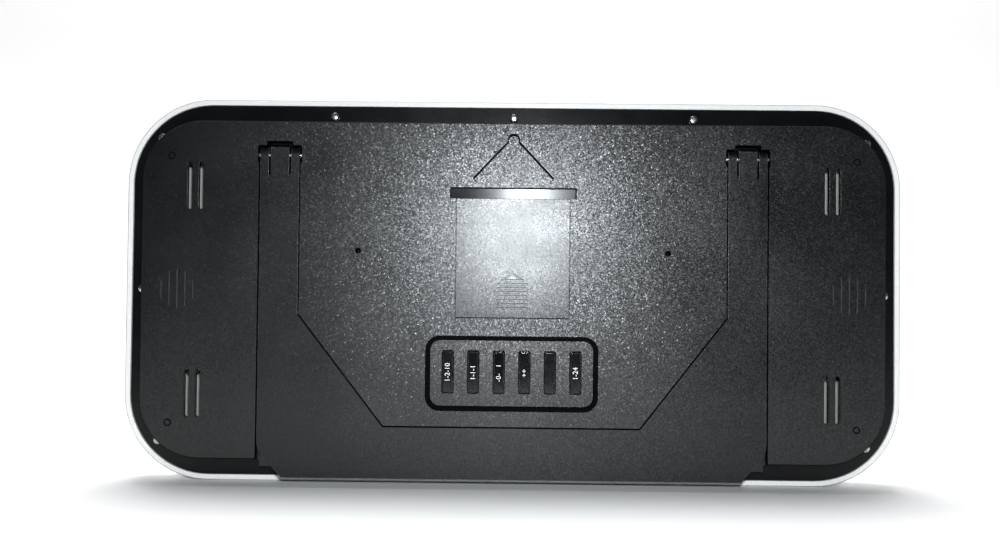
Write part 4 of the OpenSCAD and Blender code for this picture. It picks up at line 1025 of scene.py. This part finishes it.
class CLOCK_OT_stage(bpy.types.Operator):
    """Pale floor, soft lamps and the camera"""

    bl_idname = "clock.stage"
    bl_label = "Stage"

    def execute(self, context):
        s = context.scene.clock_stage
        self.floor(s)
        self.lamps(s)
        camera_data = bpy.data.cameras.new("Camera")
        camera_data.sensor_width = 36.0
        camera_data.lens = s.lens
        camera = new_object("Camera", camera_data)
        camera.location = s.camera_place
        camera.rotation_euler = Euler(s.camera_turn, "XYZ")
        context.scene.camera = camera
        context.scene.view_settings.view_transform = "Standard"
        return {"FINISHED"}

    def floor(self, s):
        """Floor that sweeps up into a backdrop behind the clock's front."""
        near, far, bend, tall, half, steps = 0.62, -2.2, 0.8, 4.0, 9.0, 12
        rows = [(near, 0.0)]
        for i in range(steps + 1):
            a = math.radians(90 * i / steps)
            rows.append((far + bend - bend * math.sin(a), bend - bend * math.cos(a)))
        rows.append((far, tall))
        bm = bmesh.new()
        lines = [[bm.verts.new((x, y, z)) for x in (-half, half)] for y, z in rows]
        for a, b in zip(lines, lines[1:]):
            bm.faces.new((a[0], a[1], b[1], b[0]))
        bmesh.ops.recalc_face_normals(bm, faces=bm.faces)
        mesh = bpy.data.meshes.new("floor")
        bm.to_mesh(mesh)
        bm.free()
        for face in mesh.polygons:
            face.use_smooth = True
        f = Finish("pale_floor")
        f.set(
            Base_Color=f.blend(f.noise(0.3, 2.0), rgba(s.floor_colour), lighter(s.floor_colour, 0.985)),
            Roughness=f.spread(f.noise(0.01, 2.0), 0.3, 0.7, 0.6, 0.7),
        )
        mesh.materials.append(f.material)
        new_object("floor", mesh)

    def lamps(self, s):
        world = bpy.data.worlds.new("World")
        world.use_nodes = True
        tree = world.node_tree
        ray, level = tree.nodes.new("ShaderNodeLightPath"), tree.nodes.new("ShaderNodeMapRange")
        level.inputs["To Min"].default_value = s.sky
        level.inputs["To Max"].default_value = s.sky_seen
        tree.links.new(ray.outputs["Is Camera Ray"], level.inputs["Value"])
        tree.nodes["Background"].inputs["Color"].default_value = (1.0, 1.0, 1.0, 1.0)
        tree.links.new(level.outputs["Result"], tree.nodes["Background"].inputs["Strength"])
        bpy.context.scene.world = world
        above = Vector(s.camera_place) + Vector((s.lamp_aside, 0.0, s.lamp_rise))
        self.lamp("front_lamp", above, (0.0, 0.0, 0.12), 0.03, s.lamp_power, tone=(0.9, 0.96, 1.0))
        self.lamp("overhead_lamp", (0.1, -0.35, 1.6), (0.0, -0.1, 0.0), 1.2, s.key_power, 120)
        for i, x in enumerate((0.0, -7.2, -3.4, 3.4, 7.2)):
            name = f"side_lamp_{i}" if i else "backdrop_lamp"
            self.lamp(name, (x, -0.9, 2.6), (x, -2.2, 0.6), 2.0, s.wash_power, 150)

    def lamp(self, name, place, aim, size, power, spread=180, tone=(1.0, 1.0, 1.0)):
        data = bpy.data.lights.new(name, "AREA")
        data.shape = "DISK"
        data.size = size
        data.energy = power
        data.color = tone
        data.spread = math.radians(spread)
        lamp = new_object(name, data)
        lamp.location = place
        lamp.rotation_euler = (Vector(aim) - Vector(place)).to_track_quat("-Z", "Y").to_euler()
        lamp.visible_camera = False


class CLOCK_PT_panel(bpy.types.Panel):
    """Lists the clock's settings and the steps that make it"""

    bl_idname = "CLOCK_PT_panel"
    bl_label = "LCD Clock"
    bl_space_type = "VIEW_3D"
    bl_region_type = "UI"
    bl_category = "Clock"

    def draw(self, context):
        layout = self.layout
        for group in SETTINGS:
            settings = getattr(context.scene, group)
            box = layout.box()
            for key in settings.bl_rna.properties.keys():
                if key not in ("rna_type", "name"):
                    box.prop(settings, key)
        for step in STEPS:
            layout.operator(step.bl_idname)


SETTINGS = {
    "clock_shell": ShellSettings,
    "clock_housing": HousingSettings,
    "clock_buttons": ButtonSettings,
    "clock_screws": ScrewSettings,
    "clock_springs": SpringSettings,
    "clock_stage": StageSettings,
}
STEPS = (
    CLOCK_OT_stage,
    CLOCK_OT_housing,
    CLOCK_OT_display,
    CLOCK_OT_electronics,
    CLOCK_OT_power,
    CLOCK_OT_shell,
    CLOCK_OT_stand,
    CLOCK_OT_door,
    CLOCK_OT_buttons,
    CLOCK_OT_screws,
)


def register():
    for cls in (*SETTINGS.values(), *STEPS, CLOCK_PT_panel):
        bpy.utils.register_class(cls)
    for name, cls in SETTINGS.items():
        setattr(bpy.types.Scene, name, PointerProperty(type=cls))


def unregister():
    for name in SETTINGS:
        delattr(bpy.types.Scene, name)
    for cls in (CLOCK_PT_panel, *reversed(STEPS), *reversed(SETTINGS.values())):
        bpy.utils.unregister_class(cls)


def main():
    """Makes every piece in order."""
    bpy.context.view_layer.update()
    register()
    for step in STEPS:
        group, name = step.bl_idname.split(".")
        result = getattr(getattr(bpy.ops, group), name)()
        if "FINISHED" not in result:
            raise RuntimeError(f"{step.bl_label} did not finish")


if __name__ == "__main__":
    main()
